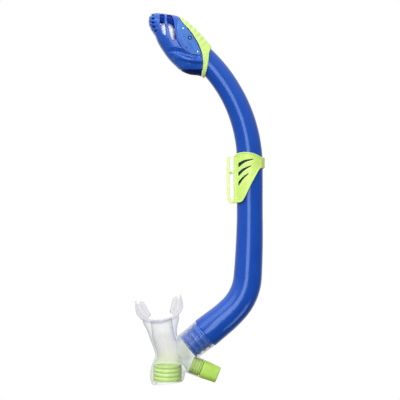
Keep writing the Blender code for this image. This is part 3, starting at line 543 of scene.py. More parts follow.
def silicone_zones(n, through, at_edge):
    """How thin the wall is, from 0 to 1, and its colours face on and edge on. The real wall and what stands
    behind it change from place to place: the lip is milky, the flange's floor is 30 mm deep and dark, the
    airway under it is clear, the cup has painted lime light from the lime ring, the throat between neck and
    ferrule has painted shade, and the skin over ring and tube is thin."""
    x, _, z = n.xyz(n.position)
    across = n.along_line(MOUTH_ORIGIN, MOUTH_ACROSS)
    up = n.along_line(MOUTH_ORIGIN, MOUTH_UP)
    arched = n.math("SUBTRACT", up, n.times(n.times(across, across), FLOOR_CURVE))
    from_floor = n.math("ABSOLUTE", n.math("SUBTRACT", arched, FLOOR_UP))
    floor = n.remap(from_floor, 0.0006, 0.0014, 1.0, 0.0)
    lip = n.remap(arched, FLOOR_UP, FLOOR_UP + 0.002)
    airway = n.times(n.remap(up, 0.0, 0.006), n.remap(arched, FLOOR_UP - 0.001, FLOOR_UP - 0.002))
    # The cup's zone, which takes the painted lime light.
    low = n.remap(z, -0.166, -0.180)
    over_ring = n.times(n.remap(x, -0.0515, -0.0535), n.remap(x, -0.0815, -0.0795))
    over_ring = n.times(n.remap(z, -0.181, -0.186), over_ring)
    thin = n.math("MAXIMUM", over_ring, n.remap(x, -0.046, -0.039))
    right_wall = n.times(n.remap(across, 0.006, 0.011), n.remap(z, -0.166, -0.156))
    left_wall = n.times(n.remap(across, -0.004, -0.008), n.remap(z, -0.168, -0.160))
    # Painted shade between the neck and the ferrule.
    shaded_throat = n.times(n.remap(x, -0.060, -0.049), n.remap(z, -0.156, -0.166))
    for mask, colour in ((airway, AIRWAY_CLEAR), (low, LIME_LIGHT_CLEAR), (right_wall, RIGHT_WALL_CLEAR),
                         (shaded_throat, THROAT_SHADE_CLEAR), (thin, THIN_CLEAR), (lip, LIP_CLEAR),
                         (floor, FLOOR_CLEAR)):
        through = n.mix(mask, through, colour)
    for mask, colour in ((low, LIME_LIGHT_EDGE), (left_wall, LEFT_WALL_EDGE), (lip, LIP_EDGE)):
        at_edge = n.mix(mask, at_edge, colour)
    return thin, through, at_edge


def clear_silicone(name, face_alpha, edge_alpha, through, at_edge, body):
    """Clear silicone: a faintly milky filter, darker where its wall is seen edge on.

    through and at_edge are its colours as a filter, and body is the colour of its milkiness."""
    n = material(name)
    facing = n.node("ShaderNodeLayerWeight", Blend=0.5).outputs["Facing"]
    edge = n.math("POWER", facing, 2.2)
    thin, through, at_edge = silicone_zones(n, through, at_edge)
    clear = n.node("ShaderNodeBsdfTransparent", Color=n.mix(edge, through, at_edge))

    cloud = n.times(n.remap(n.noise(90.0, 4.0), 0.35, 0.7), 0.03)
    alpha = n.math("ADD", n.remap(edge, 0.0, 1.0, face_alpha, edge_alpha), cloud)
    alpha = n.times(alpha, n.remap(thin, 0.0, 1.0, 1.0, 0.4))
    normal = n.bump((n.noise(60.0, 2.0), 0.2, 0.15), (n.noise(1800.0, 2.0), 0.06, 0.02))
    rough = n.remap(n.noise(300.0, 3.0), 0.3, 0.7, 0.08, 0.16)
    milk = n.principled(Base_Color=rgb(body), Roughness=rough, Normal=normal, IOR=1.41)
    skin = n.node("ShaderNodeBsdfGlossy", Roughness=0.1, Normal=normal)
    wall = n.blended(alpha, clear, milk)
    glint = n.remap(facing, 0.2, 0.6, 0.003, 0.03)
    return n.finish(n.blended(glint, wall, skin))


def steel(name, first, second, rough):
    """A pin's steel, drawn along Y."""
    n = material(name)
    brushed = n.noise(900.0, 4.0, 0.6, n.stretched(1.0, 0.1, 1.0))
    roughness = n.remap(brushed, 0.3, 0.7, rough * 0.8, rough * 1.3)
    return n.finish(n.principled(
        Base_Color=n.mix(n.noise(200.0), rgb(first), rgb(second)), Roughness=roughness, Metallic=1.0,
        Normal=n.bump((brushed, 0.2, 0.01))))


def foam(name):
    """The float's foam: white, with fine cells, and a faint painted glow for the blue light inside the
    hood.
    """
    n = material(name)
    cells = n.node("ShaderNodeTexVoronoi", Vector=n.position, Scale=1500.0).outputs["Distance"]
    colour = n.mix(n.remap(n.noise(120.0, 3.0), 0.4, 0.65), rgb((255, 255, 255)), rgb((248, 246, 250)))
    colour = n.mix(n.remap(cells, 0.0, 0.5, 0.04, 0.0), colour, rgb((226, 222, 224)))
    # The emission is painted light: the foam glows faintly blue for the light inside the hood.
    return n.finish(n.principled(
        Base_Color=colour, Roughness=n.remap(n.noise(500.0), 0.3, 0.7, 0.55, 0.8),
        Emission_Color=(0.17, 0.3, 1.0, 1.0), Emission_Strength=0.16, Normal=n.bump((cells, 0.06, 0.02))))


GLOSS = (0.62, 0.84, 1.0)
BLUE = plastic("tube_blue_look", (9, 66, 165), (13, 71, 170), (56, 108, 200), 0.2, coat=0.1,
               grain=0.02, tint=GLOSS, wave=0.05, hairline=0.03)
FERRULE = plastic("ferrule_blue_look", (16, 88, 196), (24, 99, 204), (140, 184, 240), 0.25, coat=0.2,
                  tint=GLOSS, hollow_shade=0.85)
HOOD = plastic("hood_blue_look", (18, 72, 172), (28, 83, 182), (110, 154, 226), 0.3, coat=0.25,
               grain=0.2, tint=GLOSS, hollow_shade=0.4)
# Painted light: the cover's blue is lighter than the hood's for the light that falls on its upward face.
COVER_LIT_BLUE = plastic("cover_lit_blue_look", (50, 98, 184), (72, 120, 204), (140, 178, 230), 0.34, coat=0.05,
                grain=0.3, tint=GLOSS, hollow_shade=0.6)
INNER_BLUE = plastic("inner_blue_look", (18, 56, 146), (24, 64, 154), (60, 100, 180), 0.45)
NAVY = plastic("navy_look", (0, 14, 76), (1, 20, 88), (14, 50, 124), 0.5, tint=(0.05, 0.25, 0.6))
# Painted shade: the guard is dark navy for the hood's shadowed inside above the float.
GUARD_SHADE_NAVY = plastic("guard_painted_shade_look", (0, 22, 108), (1, 28, 118), (12, 52, 138), 0.5, tint=(0.0, 0.2, 0.6))
LIME = plastic("lime_look", (196, 226, 112), (204, 232, 124), (228, 246, 176), 0.42, sheen=0.05,
               soft=0.1, grain=0.6)
COLLAR = plastic("collar_lime_look", (194, 226, 118), (206, 236, 132), (232, 250, 186), 0.45,
                 sheen=0.1, soft=0.1, grain=0.6)
GATE = plastic("gate_lime_look", (212, 235, 142), (220, 240, 154), (236, 250, 196), 0.4, soft=0.2)
# Painted shadow: the look of the dark sheet behind the keeper's slots.
SLOT_SHADOW_DARK = plastic("slot_shadow_look", (8, 34, 50), (12, 42, 60), (30, 70, 90), 0.6, tint=(0.4, 0.5, 0.6))
LINER = plastic("liner_look", (120, 150, 70), (110, 140, 62), (160, 180, 110), 0.6)
PURGE = plastic("purge_lime_look", (188, 220, 126), (196, 226, 136), (230, 244, 192), 0.35, soft=0.1,
                hollow_shade=0.5)
DUCT = plastic("duct_lime_look", (150, 186, 66), (160, 194, 78), (200, 224, 124), 0.35, hollow_shade=0.5)
CAP = plastic("cap_lime_look", (160, 200, 70), (170, 206, 82), (206, 230, 130), 0.4, soft=0.05)
ARM = plastic("arm_grey_look", (70, 66, 84), (80, 76, 92), (120, 118, 130), 0.5)
SILICONE = clear_silicone("clear_silicone_look", 0.035, 0.5, (0.935, 0.935, 0.93, 1.0),
                          (0.60, 0.62, 0.68, 1.0), (236, 238, 240))
SEAL = clear_silicone("seal_silicone_look", 0.2, 0.6, (0.9, 0.9, 0.9, 1.0), (0.6, 0.62, 0.66, 1.0),
                      (228, 230, 232))
STEEL = steel("pin_steel_look", (190, 205, 215), (235, 245, 250), 0.26)
PIN = steel("pin_pale_look", (170, 225, 240), (190, 238, 248), 0.5)
DARK_PIN = steel("pin_dark_look", (70, 140, 160), (90, 160, 178), 0.45)
FOAM = foam("float_foam_look")


# ---- placing pieces ----
def place(piece, body, slot, look, *nodes):
    """Gives a piece its look, makes it ride on a body, and hides the CAD nodes it stands for. The slot
    argument is not used.
    """
    piece.data.materials.clear()
    piece.data.materials.append(look)
    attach(piece, body)
    if nodes:
        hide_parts(*nodes)


def dress(node, look, bevel=0.25):
    """Keeps a CAD node in view, with rounded edges and its own look."""
    piece = NODES[node]
    for slot in piece.material_slots:
        slot.material = look
    if bevel:
        edges = piece.modifiers.new("edges", "BEVEL")
        edges.width = bevel * MM
        edges.segments = 2
        edges.limit_method = "ANGLE"
        edges.angle_limit = math.radians(40)


# ---- the head ----
def head_form(name, inset=0.0, past_neck=0.0):
    """The head's outer form, or one inset, which may run past the neck to cut through there."""
    table = []
    for n, (top, low, half) in enumerate(HEAD_STATIONS):
        top, low = np.array(top), np.array(low)
        centre, reach = (top + low) / 2, (top - low) / 2
        length = np.linalg.norm(reach)
        reach = reach * max(0.3, length - inset) / length
        if n >= len(HEAD_STATIONS) - 3:
            centre = centre + (inset, 0.0)
        table.append((*centre, *reach, max(0.3, half - inset)))
    rows = spline(table, 7)
    if past_neck:
        first = rows[0].copy()
        first[:2] += past_neck * np.array(NECK_DOWN)
        rows = np.vstack([first, rows])
    rings = [section((x, 0.0, z), (a, 0.0, b), (0.0, half, 0.0), 2.4, 128) for x, z, a, b, half in rows]
    return loft(name, rings)


def seam_prism(name, seam, left, shift=0.0):
    """Everything on one side of a seam of the head."""
    far, low, high = -120.0 if left else 60.0, 60.0, 220.0
    curve = [(x + shift, z) for x, z in spline(seam, 8)]
    return prism(name, [(curve[0][0], high), *curve, (curve[-1][0], low), (far, low), (far, high)])


def grown(outline, by):
    """A closed outline moved outwards, or inwards if it runs the other way round."""
    p = [np.array(q) for q in outline]
    found = []
    for before, here, after in zip([p[-1], *p[:-1]], p, [*p[1:], p[0]]):
        normals = [np.array((e[1], -e[0])) / np.linalg.norm(e) for e in (here - before, after - here)]
        middle = normals[0] + normals[1]
        found.append(tuple(here + middle * by / max(0.5, middle @ normals[0])))
    return found


def cover_outline(grow=0.0):
    seam = [(x - 0.9, z) for x, z in spline(HOOD_SEAM, 6) if 126.5 < z < 159.5]
    return grown([*spline_points(COVER_EDGE, 6), *reversed(seam)], grow)


def rim_relief(p):
    """The ridge that hood and cover share along the cover's left edge."""
    return stripe(p, RIDGE, 1.8, 2.0, 0.8)


def hood_relief(p):
    """The hood's moulded relief: the ridge, and the valley, bead and crease under the cover."""
    valley = stripe(p, VALLEY, 5.2, 2.4, -1.3)
    bead = stripe(p, BEAD, 4.4, 3.2, 2.0)
    return rim_relief(p) + valley + bead + stripe(p, CREASE, 1.5, 2.0, 0.35)


def build_hood():
    hood = head_form("hood_skin")
    cut(hood, head_form("inside", HEAD_WALL, 20.0))
    keep(hood, seam_prism("left_of_seam", HOOD_SEAM, True, -0.15))
    cut(hood, box("chin_cut", (CHIN_FRONT_X, -10.0), (-REACH, REACH), (90.0, CHIN_Z)))
    for n, outline in enumerate(WINDOWS):
        cut(hood, prism(f"window_{n}", spline_points([*outline, outline[0]], 4)[:-1]))
    for x, z in NOSE_SLOTS:
        groove = box("groove", (-95.0, x), (-REACH, REACH), (z - SLOT_HALF, z + SLOT_HALF))
        pit = box("pit", (x - PIT_LEFT, x + PIT_RIGHT), (-REACH, REACH), (z - PIT_HALF, z + PIT_HALF))
        cut(hood, cut(groove, head_form("floor", SLOT_DEPTH)))
        cut(hood, cut(pit, head_form("pit_floor", PIT_DEPTH)))
    recess = cut(prism("recess", cover_outline(0.4)), wide_prism("recess_left", RECESS_LEFT))
    cut(hood, cut(recess, head_form("recess_floor", 1.5)))
    for spot in (FLOAT_PIVOT, FLAP_PIVOT, STUD_PLACE):
        cut(hood, rod("pin_hole", spot, 1.4))
    lift(moulded(hood, 0.34, 4), hood_relief)
    place(hood, "tube", "hood_blue", HOOD, "hood")


def cover_relief(p):
    """The cover's raised left rim, its groove with a dimple at the end, and a faint fold by the collar."""
    x, z = COVER_GROOVE[-1]
    dimple = -0.6 * np.exp(-((p[:, 0] - x) ** 2 + (p[:, 2] - z) ** 2) / 0.8)
    fold = stripe(p, COVER_FOLD, 0.7, 0.9, -0.22)
    return rim_relief(p) + stripe(p, COVER_GROOVE, 0.9, 0.8, -0.6) + dimple + fold


def build_covers():
    holes = ((FLOAT_PIVOT, 1.35), (FLAP_PIVOT, 2.1), (STUD_PLACE, 1.35))
    for name, node, ys in (("cover_front_skin", "side_cover_front", (-REACH, -2.0)),
                           ("cover_back_skin", "side_cover_back", (2.0, REACH))):
        cover = prism(name, cover_outline(), *ys)
        keep(cover, head_form("cover_outside", -0.25))
        cut(cover, head_form("cover_inside", 1.1))
        for spot, radius in holes:
            cut(cover, rod("pin_hole", spot, radius, *ys))
        lift(moulded(cover, 0.28, 4), cover_relief)
        place(cover, "tube", "cover_blue", COVER_LIT_BLUE, node)


def build_guard():
    # Painted shade: the dark guard stands for the shadowed inside of the hood, and its tongue for the float
    # arm's shadow.
    guard = join(prism("guard_skin", GUARD_EDGE), prism("shadow_tongue", GUARD_SHADOW_TONGUE))
    keep(guard, head_form("guard_outside", GUARD_DEPTH))
    cut(guard, head_form("guard_inside", HEAD_WALL + 1.0))
    place(moulded(guard, 0.35, 3), "tube", "chin_navy", GUARD_SHADE_NAVY, "splash_guard")


def spine_ridges(p, normal):
    """The cross ribs of the lime spine, which fade out towards the ring at the neck."""
    down, out = (np.array((v[0], 0.0, v[1])) for v in (NECK_DOWN, NECK_OUT))
    high = np.clip((p[:, 2] - 130.0) / 12.0, 0.0, 1.0)
    outward = np.clip(normal @ out * 1.8, 0.0, 1.0)
    return 0.22 * high * outward * np.cos(2 * math.pi * (p @ down) / 5.4)


def build_collar():
    collar = head_form("collar_skin", -0.35)
    cut(collar, head_form("inside", HEAD_WALL, 20.0))
    keep(collar, seam_prism("right_of_hood", HOOD_SEAM, False, 0.15))
    keep(collar, seam_prism("left_of_tube", TUBE_SEAM, True))
    push(moulded(collar, 0.4, 5), spine_ridges)
    place(collar, "tube", "collar_lime", COLLAR, "collar_trim")


def build_chin():
    chin = box("chin_skin", (CHIN_FRONT_X + 0.3, -20.0), (-REACH, REACH), (90.0, CHIN_Z - 0.3))
    keep(chin, head_form("chin_outside", 0.4))
    cut(chin, head_form("chin_inside", HEAD_WALL, 20.0))
    keep(chin, seam_prism("left_of_seam", HOOD_SEAM, True, -0.3))
    for y in DRAIN_YS:
        cut(chin, box("drain_slot", (-49.0, -36.5), (y - DRAIN_HALF, y + DRAIN_HALF), (95.0, 115.0)))
    place(moulded(chin, 0.32, 4), "tube", "chin_navy", NAVY, "chin_grille")


def build_pins():
    for name, node, spot, ys, look in (
            ("float_pin_skin", "float_pin", FLOAT_PIVOT, (-14.6, 14.6), PIN),
            ("flap_pin_skin", "flap_pin", FLAP_PIVOT, (-15.2, 15.2), DARK_PIN),
            ("stud_front_skin", "hood_stud_front", STUD_PLACE, (-15.0, -10.2), PIN),
            ("stud_back_skin", "hood_stud_back", STUD_PLACE, (10.2, 15.0), PIN)):
        made = rod(name, spot, PIN_R, *ys, 48)
        dome = made.modifiers.new("dome", "BEVEL")
        dome.width = PIN_DOME * MM
        dome.segments = 4
        dome.limit_method = "ANGLE"
        place(smooth_shade(applied(made), 50.0), "tube", "pin_steel", look, node)


def build_float():
    stations = ((-74.2, 146.0, 153.6, 7.0), (-73.0, 143.2, 156.4, 8.4), (-69.5, 138.2, 158.2, 10.0),
                (-65.0, 134.0, 157.6, 10.8), (-61.5, 132.4, 155.6, 10.6), (-60.0, 134.5, 152.6, 9.2))
    rings = [section((x, 0.0, (low + top) / 2), (0.0, 0.0, (top - low) / 2), (0.0, half, 0.0), 3.0)
             for x, low, top, half in spline(stations, 8)]
    place(moulded(loft("float_skin", rings), 0.5, 6), "float", "float_white", FOAM, "float_body")
    dress("float_arm", ARM)
    dress("flap_arm", ARM)
    dress("flap_seal", SEAL, 0.15)


# ---- tube and keeper ----
def upper_radius(degrees):
    run = math.radians(degrees) * UPPER_BEND_R / NECK_TAPER_LENGTH
    return R_STRAIGHT + (R_NECK - R_STRAIGHT) * min(1.0, run)


def build_tube():
    steps = 60
    upper = [(p, (-h[0], -h[1]), upper_radius(i * UPPER_BEND_DEG / steps))
             for i, (p, h) in enumerate(upper_path(steps))]
    path = [*reversed(upper), *lower_path()[1:]]
    end, heading, radius = path[-1]
    lip = [(along(end, heading, -back), heading, radius - less) for back, less in TUBE_LIP]
    inner = [(p, h, r - TUBE_WALL) for p, h, r in reversed(path)]
    tube = swept("tube_skin", [(p, h, r, r) for p, h, r in (*path[:-1], *lip, *inner)], looped=True)
    cut(tube, seam_prism("head_end", TUBE_SEAM, True, 0.3))
    place(smooth_shade(tube), "tube", "tube_blue", BLUE, "main_tube")


def build_ferrule():
    spigot, bore, rib_high = 13.5, 10.5, 0.9

    def at(s, less=0.0):
        """A point of the profile at a distance s, some way under the cone over the ribs."""
        return 14.3 - 0.07 * s - less, s

    profile = [(bore, -12.0), (spigot - 0.35, -12.0), (spigot - 0.1, -0.3), at(0.2, rib_high)]
    for start in (2.6, 8.7, 14.8):
        for t in np.linspace(0, 1, 9):
            profile.append(at(start + 3.4 * t, rib_high - rib_high * math.sin(math.pi * t) ** 0.5))
    profile += [at(19.5, rib_high), at(19.8, 0.3), at(20.3), at(21.0), at(21.5, 0.4), (bore, 21.5)]
    made = turned("ferrule_skin", profile, TUBE_END, END_HEADING)
    place(smooth_shade(made, 60.0), "tube", "ferrule_blue", FERRULE, "swivel_ferrule")


def wing_slots():
    """The three crescents of each wing."""
    for (x, z), (bow_x, bow_z), (tip_x, tip_z) in WING_SLOTS:
        upper = spline_points(((x, z), (bow_x, bow_z + 0.6), (tip_x, tip_z)), 8)
        lower = spline_points(((tip_x, tip_z - 0.5), (bow_x + 0.3, bow_z - 1.8), (x, z - 4.4)), 8)
        yield [*upper, *lower]


def around_tube(name, r_in, r_out, top_z, low_z):
    """A sleeve on the straight stretch of the tube."""
    profile = [(r_in, 0.0), (r_out, 0.0), (r_out, top_z - low_z), (r_in, top_z - low_z)]
    return turned(name, profile, (TUBE_AXIS_X, top_z), (0.0, -1.0), around=160)


def build_keeper():
    wing = [*spline_points(WING_TOP, 8), *spline_points(WING_LOW, 8)]
    keeper = keep(around_tube("keeper_skin", WING_R_IN, WING_R_OUT, *WING_ZS), prism("wing_outline", wing))
    rim = cut(prism("rim_outline", wing), wide_prism("rim_inside", grown(wing[::-1], -1.1)))
    join(keeper, keep(rim, around_tube("rim_shell", WING_R_IN, WING_R_OUT + 0.35, *WING_ZS)))
    join(keeper, box("strap_pad", (0.0, 2.4), (-PAD_Y, PAD_Y), (-18.4, 23.0)))
    join(keeper, around_tube("ring", RING_R_IN, RING_R_OUT, RING_HIGH_Z, RING_LOW_Z))
    cut(keeper, turned("ring_bore", [(RING_R_IN, -30.0), (RING_R_IN, 80.0)], (TUBE_AXIS_X, RING_HIGH_Z),
                       (0.0, -1.0), looped=False, around=160))
    for outline in wing_slots():
        cut(keeper, prism("wing_slot", outline))
    x, z = GATE_HINGE
    ys = (-PAD_Y - 1.0, PAD_Y + 1.0)
    cut(keeper, rod("hinge_seat", GATE_HINGE, 2.3, *ys))
    cut(keeper, box("hinge_mouth", (-5.0, x), ys, (z - 4.0, z + 2.3)))
    cut(keeper, box("latch_hole", (-1.0, 3.2), (-2.3, 2.3), (STUD_Z - 1.5, STUD_Z + 1.5)))
    for ys in ((-PAD_Y - 0.9, -PAD_Y + 0.7), (PAD_Y - 0.7, PAD_Y + 0.9)):
        join(keeper, rod("knuckle", GATE_HINGE, KNUCKLE_R, *ys))
        join(keeper, box("knuckle_web", (x, 4.6), ys, (z - 1.0, -17.0)))
    place(moulded(keeper, 0.32, 3), "keeper", "keeper_lime", LIME, "keeper_clip")

    # A dark sheet behind the wing's slots: painted shadow for the gap between wing and tube.
    lower_shadow_sheet, upper_shadow_sheet = (prism("shadow_sheet_part", [(3.0, a), (22.0, a), (22.0, b), (3.0, b)])
                            for a, b in ((-6.8, 9.4), (11.0, 22.6)))
    shadow_sheet = keep(around_tube("keeper_slot_shadow_sheet", 14.02, 14.33, *WING_ZS), join(lower_shadow_sheet, upper_shadow_sheet))
    keep(shadow_sheet, wide_prism("shadow_sheet_trim", grown(wing[::-1], -1.5)))
    place(smooth_shade(shadow_sheet), "keeper", "keeper_lime", SLOT_SHADOW_DARK)
    dress("keeper_liner", LINER, 0.15)
    dress("gate_pin", STEEL, 0.12)


def build_gate():
    x, z = GATE_HINGE
    foot = [(x + KNUCKLE_R * math.cos(a), z + KNUCKLE_R * math.sin(a)) for a in np.linspace(-1.4, 1.9, 14)]
    inner = spline_points(((-2.6, -18.6), (-4.0, -16.4), (GATE_INNER_X, -13.0), (GATE_INNER_X, 20.6)), 6)
    barb = [(GATE_INNER_X + 0.9, 22.4), (GATE_INNER_X + 0.7, 24.2), (GATE_INNER_X - 0.8, 24.8)]
    outer = spline_points(((GATE_OUTER_X + 0.7, 23.6), (GATE_OUTER_X, 20.0), (GATE_OUTER_X, -6.0),
                           (-6.4, -18.0), (-3.6, -22.2), (x, z - KNUCKLE_R)), 6)
    gate = prism("gate_skin", [*foot, *inner, *barb, *outer[:-1]], -PAD_Y + 1.0, PAD_Y - 1.0)
    join(gate, box("latch_stud", (GATE_INNER_X - 0.6, 0.6), (-1.8, 1.8), (STUD_Z - 1.1, STUD_Z + 1.1)))
    cut(gate, rod("hinge_hole", GATE_HINGE, 1.0, -12.0, 12.0))
    place(moulded(gate, 0.3, 4), "gate", "gate_lime", GATE, "strap_gate")


# ---- mouthpiece end ----
def mouth_point(across, up):
    return (MOUTH_ORIGIN[0] + MOUTH_ACROSS[0] * across + MOUTH_UP[0] * up,
            MOUTH_ORIGIN[1] + MOUTH_ACROSS[1] * across + MOUTH_UP[1] * up)


def mouth_prism(name, outline, half):
    return prism(name, [mouth_point(a, u) for a, u in outline], -half, half)


def oval(name, stations, power=2.0):
    """A form along the mouthpiece, from (across, up, half width, half depth) stations."""
    rows = [(mouth_point(a, u), MOUTH_UP, w, d) for a, u, w, d in spline(stations, 6)]
    return swept(name, rows, power=power)


def sleeve_form(name, rows):
    """A form on the tube's end, from (distance, radius) pairs."""
    return swept(name, [(along(TUBE_END, END_HEADING, s), END_HEADING, r, r) for s, r in spline(rows, 5)])


def cup_form(name, rows, steps=5):
    """A form round the purge, from (z, radius, tilt in degrees) rows."""
    return swept(name, [((PURGE_X, z), turn((0.0, -1.0), tilt), r, r)
                        for z, r, tilt in spline(rows, steps)])


def exhaust_form(name, rows, power=2.8):
    """A form along the exhaust, from (distance, half height, half depth) rows."""
    return swept(name, [(along(EXHAUST_START, EXHAUST_OUT, s), EXHAUST_OUT, h, b) for s, h, b in rows],
                 power=power)


def arch(points):
    """A smooth arch from its right half."""
    half = spline_points(points, 8)
    return [(-a, u) for a, u in reversed(half[1:])] + half


NECK = ((1.8, -28.0, 13.2, 13.2), (2.6, -18.0, 13.2, 13.0), (1.8, -10.0, 13.4, 12.6),
        (0.0, 0.0, 13.9, 12.2), (0.0, 7.0, 15.2, 12.6), (0.0, 13.5, 17.6, 13.2), (0.0, 17.5, 18.6, 13.6))
AIRWAY = ((1.8, -28.0, 11.3, 11.3), (2.6, -18.0, 11.3, 11.1), (1.6, -10.0, 11.3, 10.6),
          (0.0, 0.0, 11.2, 10.0), (0.0, 7.0, 10.9, 9.4), (0.0, 30.0, 10.6, 8.4))
LIP_TRIM = ((0.0, 13.0, 25.0, 15.0), (0.0, 20.0, 25.0, 15.0), (0.0, 28.0, 24.6, 13.4),
            (0.0, 34.0, 24.0, 11.0), (0.0, 38.8, 23.4, 8.0))
LIP_BACK = ((0.0, 13.6), (9.0, 14.6), (17.0, 18.0), (22.6, 24.0), (24.0, 29.0), (23.2, 38.8))
LIP_FRONT = ((0.0, 15.8), (8.6, 17.0), (15.4, 20.4), (20.4, 26.0), (21.6, 31.0), (21.8, 38.8))
BITE_WALL = ((9.4, 22.6), (11.2, 21.0), (14.0, 24.6), (17.0, 31.0), (19.4, 37.0), (17.4, 37.8),
             (14.6, 36.2), (11.2, 28.0))
BITE_SHELF = ((10.8, 22.0), (12.6, 19.4), (16.0, 19.6), (21.8, 26.0), (22.6, 31.0), (21.4, 35.0),
              (17.4, 34.6))
SLEEVE = ((0.3, 15.6), (9.0, 15.2), (19.0, 14.9), (27.0, 14.4), (34.0, 11.5), (38.0, 7.0))
SLEEVE_HOLE = ((-3.0, 14.8), (2.0, 14.6), (22.0, 13.2), (28.0, 12.3), (34.0, 9.0))
CUP = ((-176.0, 12.6, 0.0), (-183.0, 15.4, 0.0), (-188.0, 17.0, 2.0), (-193.0, 17.6, 3.0),
       (-197.5, 17.2, 4.5), (-200.9, 16.0, 6.0), (-202.3, 14.4, 6.0))
CUP_HOLE = ((-177.0, 11.0, 0.0), (PURGE_TOP_Z + 0.3, 14.55, 0.0), (PURGE_LOW_Z - 0.3, 14.55, 0.0))
EXHAUST_HOLE = ((-24.0, 4.6, 5.6, 4.0), (-14.0, 7.2, 8.0, 0.9), (-12.0, 8.7, 9.4, 0.0),
                (3.0, 8.7, 9.4, 0.0))


def join_mouthpiece(body):
    """Adds the lip flange and the two bite tabs."""
    back, front = arch(LIP_BACK), arch(LIP_FRONT)
    cut(body, mouth_prism("lip_room", [*front, (30.0, 60.0), (-30.0, 60.0)], 30.0))
    flange = mouth_prism("flange", [*back, *reversed(front)], 16.0)
    join(body, keep(flange, oval("flange_trim", LIP_TRIM, power=2.6)))
    for side in (-1.0, 1.0):
        join(body, mouth_prism("shelf", [(side * a, u) for a, u in BITE_SHELF], 1.7))
        join(body, mouth_prism("bite_wall", [(side * a, u) for a, u in BITE_WALL], 5.6))


def build_silicone():
    """The clear body: mouthpiece, lip flange, bite tabs, chamber, tube sleeve, cup and exhaust sleeve."""
    body = oval("silicone_skin", NECK)
    join_mouthpiece(body)
    join(body, sleeve_form("sleeve", SLEEVE))
    join(body, cup_form("cup", CUP))
    join(body, exhaust_form("exhaust_sleeve", ((-22.0, 9.5, 10.2), (-0.35, 9.5, 10.2))))
    cut(body, oval("airway", AIRWAY))
    cut(body, sleeve_form("sleeve_inside", SLEEVE_HOLE))
    cut(body, cup_form("cup_inside", CUP_HOLE, 1))
    cut(body, cup_form("cup_hole", ((-195.0, 12.2, 0.0), (-210.0, 12.2, 0.0)), 1))
    cut(body, swept("exhaust_inside", [(along(EXHAUST_START, EXHAUST_OUT, s, across), EXHAUST_OUT, h, b)
                                       for s, h, b, across in EXHAUST_HOLE], power=2.8))
    place(moulded(body, 0.42, 12), "mouth", "chamber_silicone", SILICONE, "mouth_chamber", "mouthpiece")


def purge_grooves(p, _):
    """The grooves round the ring's outside, leaning down towards the front."""
    tall = PURGE_TOP_Z - PURGE_LOW_Z
    height = p[:, 2] - PURGE_LOW_Z
    outside = np.hypot(p[:, 0] - PURGE_X, p[:, 1]) > 14.0
    turns = (height - PURGE_LEAN * p[:, 1]) / tall * PURGE_GROOVES
    inner = np.clip(np.minimum(height, tall - height) / 1.2, 0.0, 1.0)
    return -PURGE_GROOVE_DEPTH * outside * inner * (0.5 - 0.5 * np.cos(2 * math.pi * turns)) ** 1.5


def build_purge():
    tall, up, origin = PURGE_TOP_Z - PURGE_LOW_Z, (0.0, 1.0), (PURGE_X, PURGE_LOW_Z)
    side = [(14.2, z) for z in np.linspace(0.3, tall - 0.3, 90)]
    profile = [(11.9, 0.2), (12.1, 0.0), (13.9, 0.0), *side, (13.9, tall), (12.1, tall), (11.9, tall - 0.2)]
    seat = push(turned("purge_seat_skin", profile, origin, up), purge_grooves)
    join(seat, turned("spider", [(12.4, 8.0), (12.4, 10.0)], origin, up, looped=False))
    for n in range(PORT_COUNT):
        a = 2 * math.pi * (n + 0.5) / PORT_COUNT
        x, y = PURGE_X + PORT_CIRCLE_R * math.cos(a), PORT_CIRCLE_R * math.sin(a)
        ends = [(x, y, PURGE_LOW_Z + height) for height in (6.0, 12.0)]
        cut(seat, loft("port", [section(end, (PORT_R, 0, 0), (0, PORT_R, 0), around=32) for end in ends]))
    cut(seat, turned("stem_hole", [(1.6, 5.0), (1.6, 13.0)], origin, up, looped=False, around=32))
    place(smooth_shade(seat, 50.0), "mouth", "purge_lime", PURGE, "purge_seat")
    dress("purge_cover", PURGE, 0.2)
    dress("purge_membrane", SEAL, 0.0)


def build_exhaust():
    high, deep, groove, spigot = 8.5, 9.2, 0.4, 1.5
    rows = [(-10.9, high - 0.3, deep - 0.3), (-10.6, high, deep)]
    for start in (-8.4, -5.6, -2.8):
        for step, less in ((0.0, 0.0), (0.3, groove), (0.8, groove), (1.1, 0.0)):
            rows.append((start + step, high - less, deep - less))
    rows += [(-0.8, high, deep), (-0.7, high - spigot, deep - spigot), (6.0, 6.2, 6.9)]
    hole = ((-12.0, 7.1, 7.8), (-1.8, 7.1, 7.8), (-0.2, 5.5, 6.2), (8.0, 4.8, 5.5))
    duct = cut(exhaust_form("duct_skin", rows), exhaust_form("duct_inside", hole))
    place(smooth_shade(duct), "mouth", "duct_lime", DUCT, "exhaust_duct")

    end = EXHAUST_LENGTH
    cap = exhaust_form("cap_skin", ((0.0, 8.5, 9.2), (0.4, 8.9, 9.6), (2.0, 9.0, 9.8), (7.0, 8.7, 9.75),
                                    (12.0, 8.35, 9.6), (end - 1.2, 8.15, 9.5), (end - 0.4, 7.95, 9.3),
                                    (end, 7.4, 8.8)), 3.2)
    cut(cap, exhaust_form("cap_inside", ((-2.0, 7.35, 8.05), (6.6, 6.75, 7.45), (7.6, 5.0, 5.8),
                                         (9.5, 5.0, 5.8), (9.6, 6.2, 7.2), (30.0, 6.2, 7.2)), 3.0))
    place(moulded(cap, 0.3, 4), "mouth", "cap_lime", CAP, "exhaust_cap")
    dress("exhaust_flap", SEAL, 0.15)


# ---- stage ----
WHITE = (1.0, 1.0, 1.0, 1.0)
FLOOR_Z, FLOOR_HALF = -236.0, 3000.0
WORLD_LEFT, WORLD_RIGHT, WORLD_TOP, WORLD_LOW = 0.55, 0.3, 1.2, 0.35


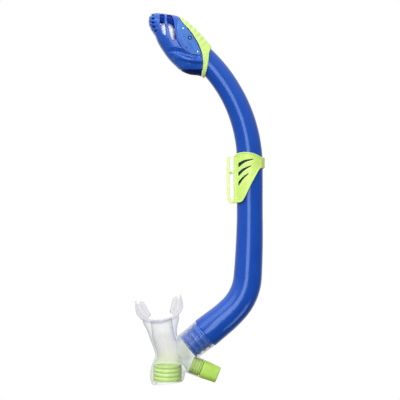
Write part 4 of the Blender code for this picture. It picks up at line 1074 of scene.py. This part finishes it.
def build_stage():
    h, z = FLOOR_HALF, FLOOR_Z
    floor = new_mesh("studio_floor", [(-h, -h, z), (h, -h, z), (h, h, z), (-h, h, z)], [(0, 1, 2, 3)])
    n = material("floor_white")
    floor.data.materials.append(n.finish(n.node("ShaderNodeEmission", Color=WHITE)))
    floor.visible_glossy = False
    floor.visible_diffuse = False
    floor.visible_shadow = False


def area_light(name, spot, aim, width, height, power):
    data = bpy.data.lights.new(name, "AREA")
    data.shape = "RECTANGLE"
    data.size = width
    data.size_y = height
    data.energy = power
    lamp = bpy.data.objects.new(name, data)
    lamp.location = spot
    lamp.rotation_euler = (Vector(aim) - Vector(spot)).to_track_quat("-Z", "Y").to_euler()
    lamp.visible_camera = False
    bpy.context.scene.collection.objects.link(lamp)


def build_world():
    """White for the camera and from behind; from the front dimmer, falling off from left to right."""
    world = bpy.data.worlds.new("studio")
    bpy.context.scene.world = world
    n = Nodes(world, "World")
    x, y, z = n.xyz(n.coordinates["Generated"])
    front = n.times(n.remap(x, -1.0, 0.4, WORLD_LEFT, WORLD_RIGHT), n.remap(z, -0.8, 0.1, WORLD_LOW, 1.0))
    front = n.math("ADD", front, n.remap(z, 0.0, 1.0, 0.0, WORLD_TOP))
    strength = n.math("MAXIMUM", n.remap(y, 0.3, 0.9), front)
    strength = n.math("MAXIMUM", strength, n.add("ShaderNodeLightPath").outputs["Is Camera Ray"])
    n.finish(n.node("ShaderNodeBackground", Color=WHITE, Strength=strength))


def build_lights():
    middle = (-0.034, 0.0, -0.02)
    area_light("front_softbox", (-0.36, -2.25, 0.15), middle, 1.0, 1.7, 24.0)
    area_light("left_softbox", (-1.7, -1.3, 1.5), middle, 1.4, 1.4, 12.0)
    area_light("low_fill", (1.25, -0.55, -1.2), middle, 0.6, 0.6, 3.0)
    area_light("top_strip", (-0.25, -1.5, 1.45), middle, 1.2, 0.4, 7.5)


def main():
    build_tube()
    build_ferrule()
    dress("dry_top_base", INNER_BLUE, 0.2)
    build_hood()
    build_covers()
    build_guard()
    build_collar()
    build_chin()
    build_pins()
    build_float()
    build_keeper()
    build_gate()
    build_silicone()
    build_purge()
    build_exhaust()
    build_stage()
    build_world()
    build_lights()
    bpy.context.scene.view_settings.view_transform = "Standard"
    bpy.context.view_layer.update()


main()
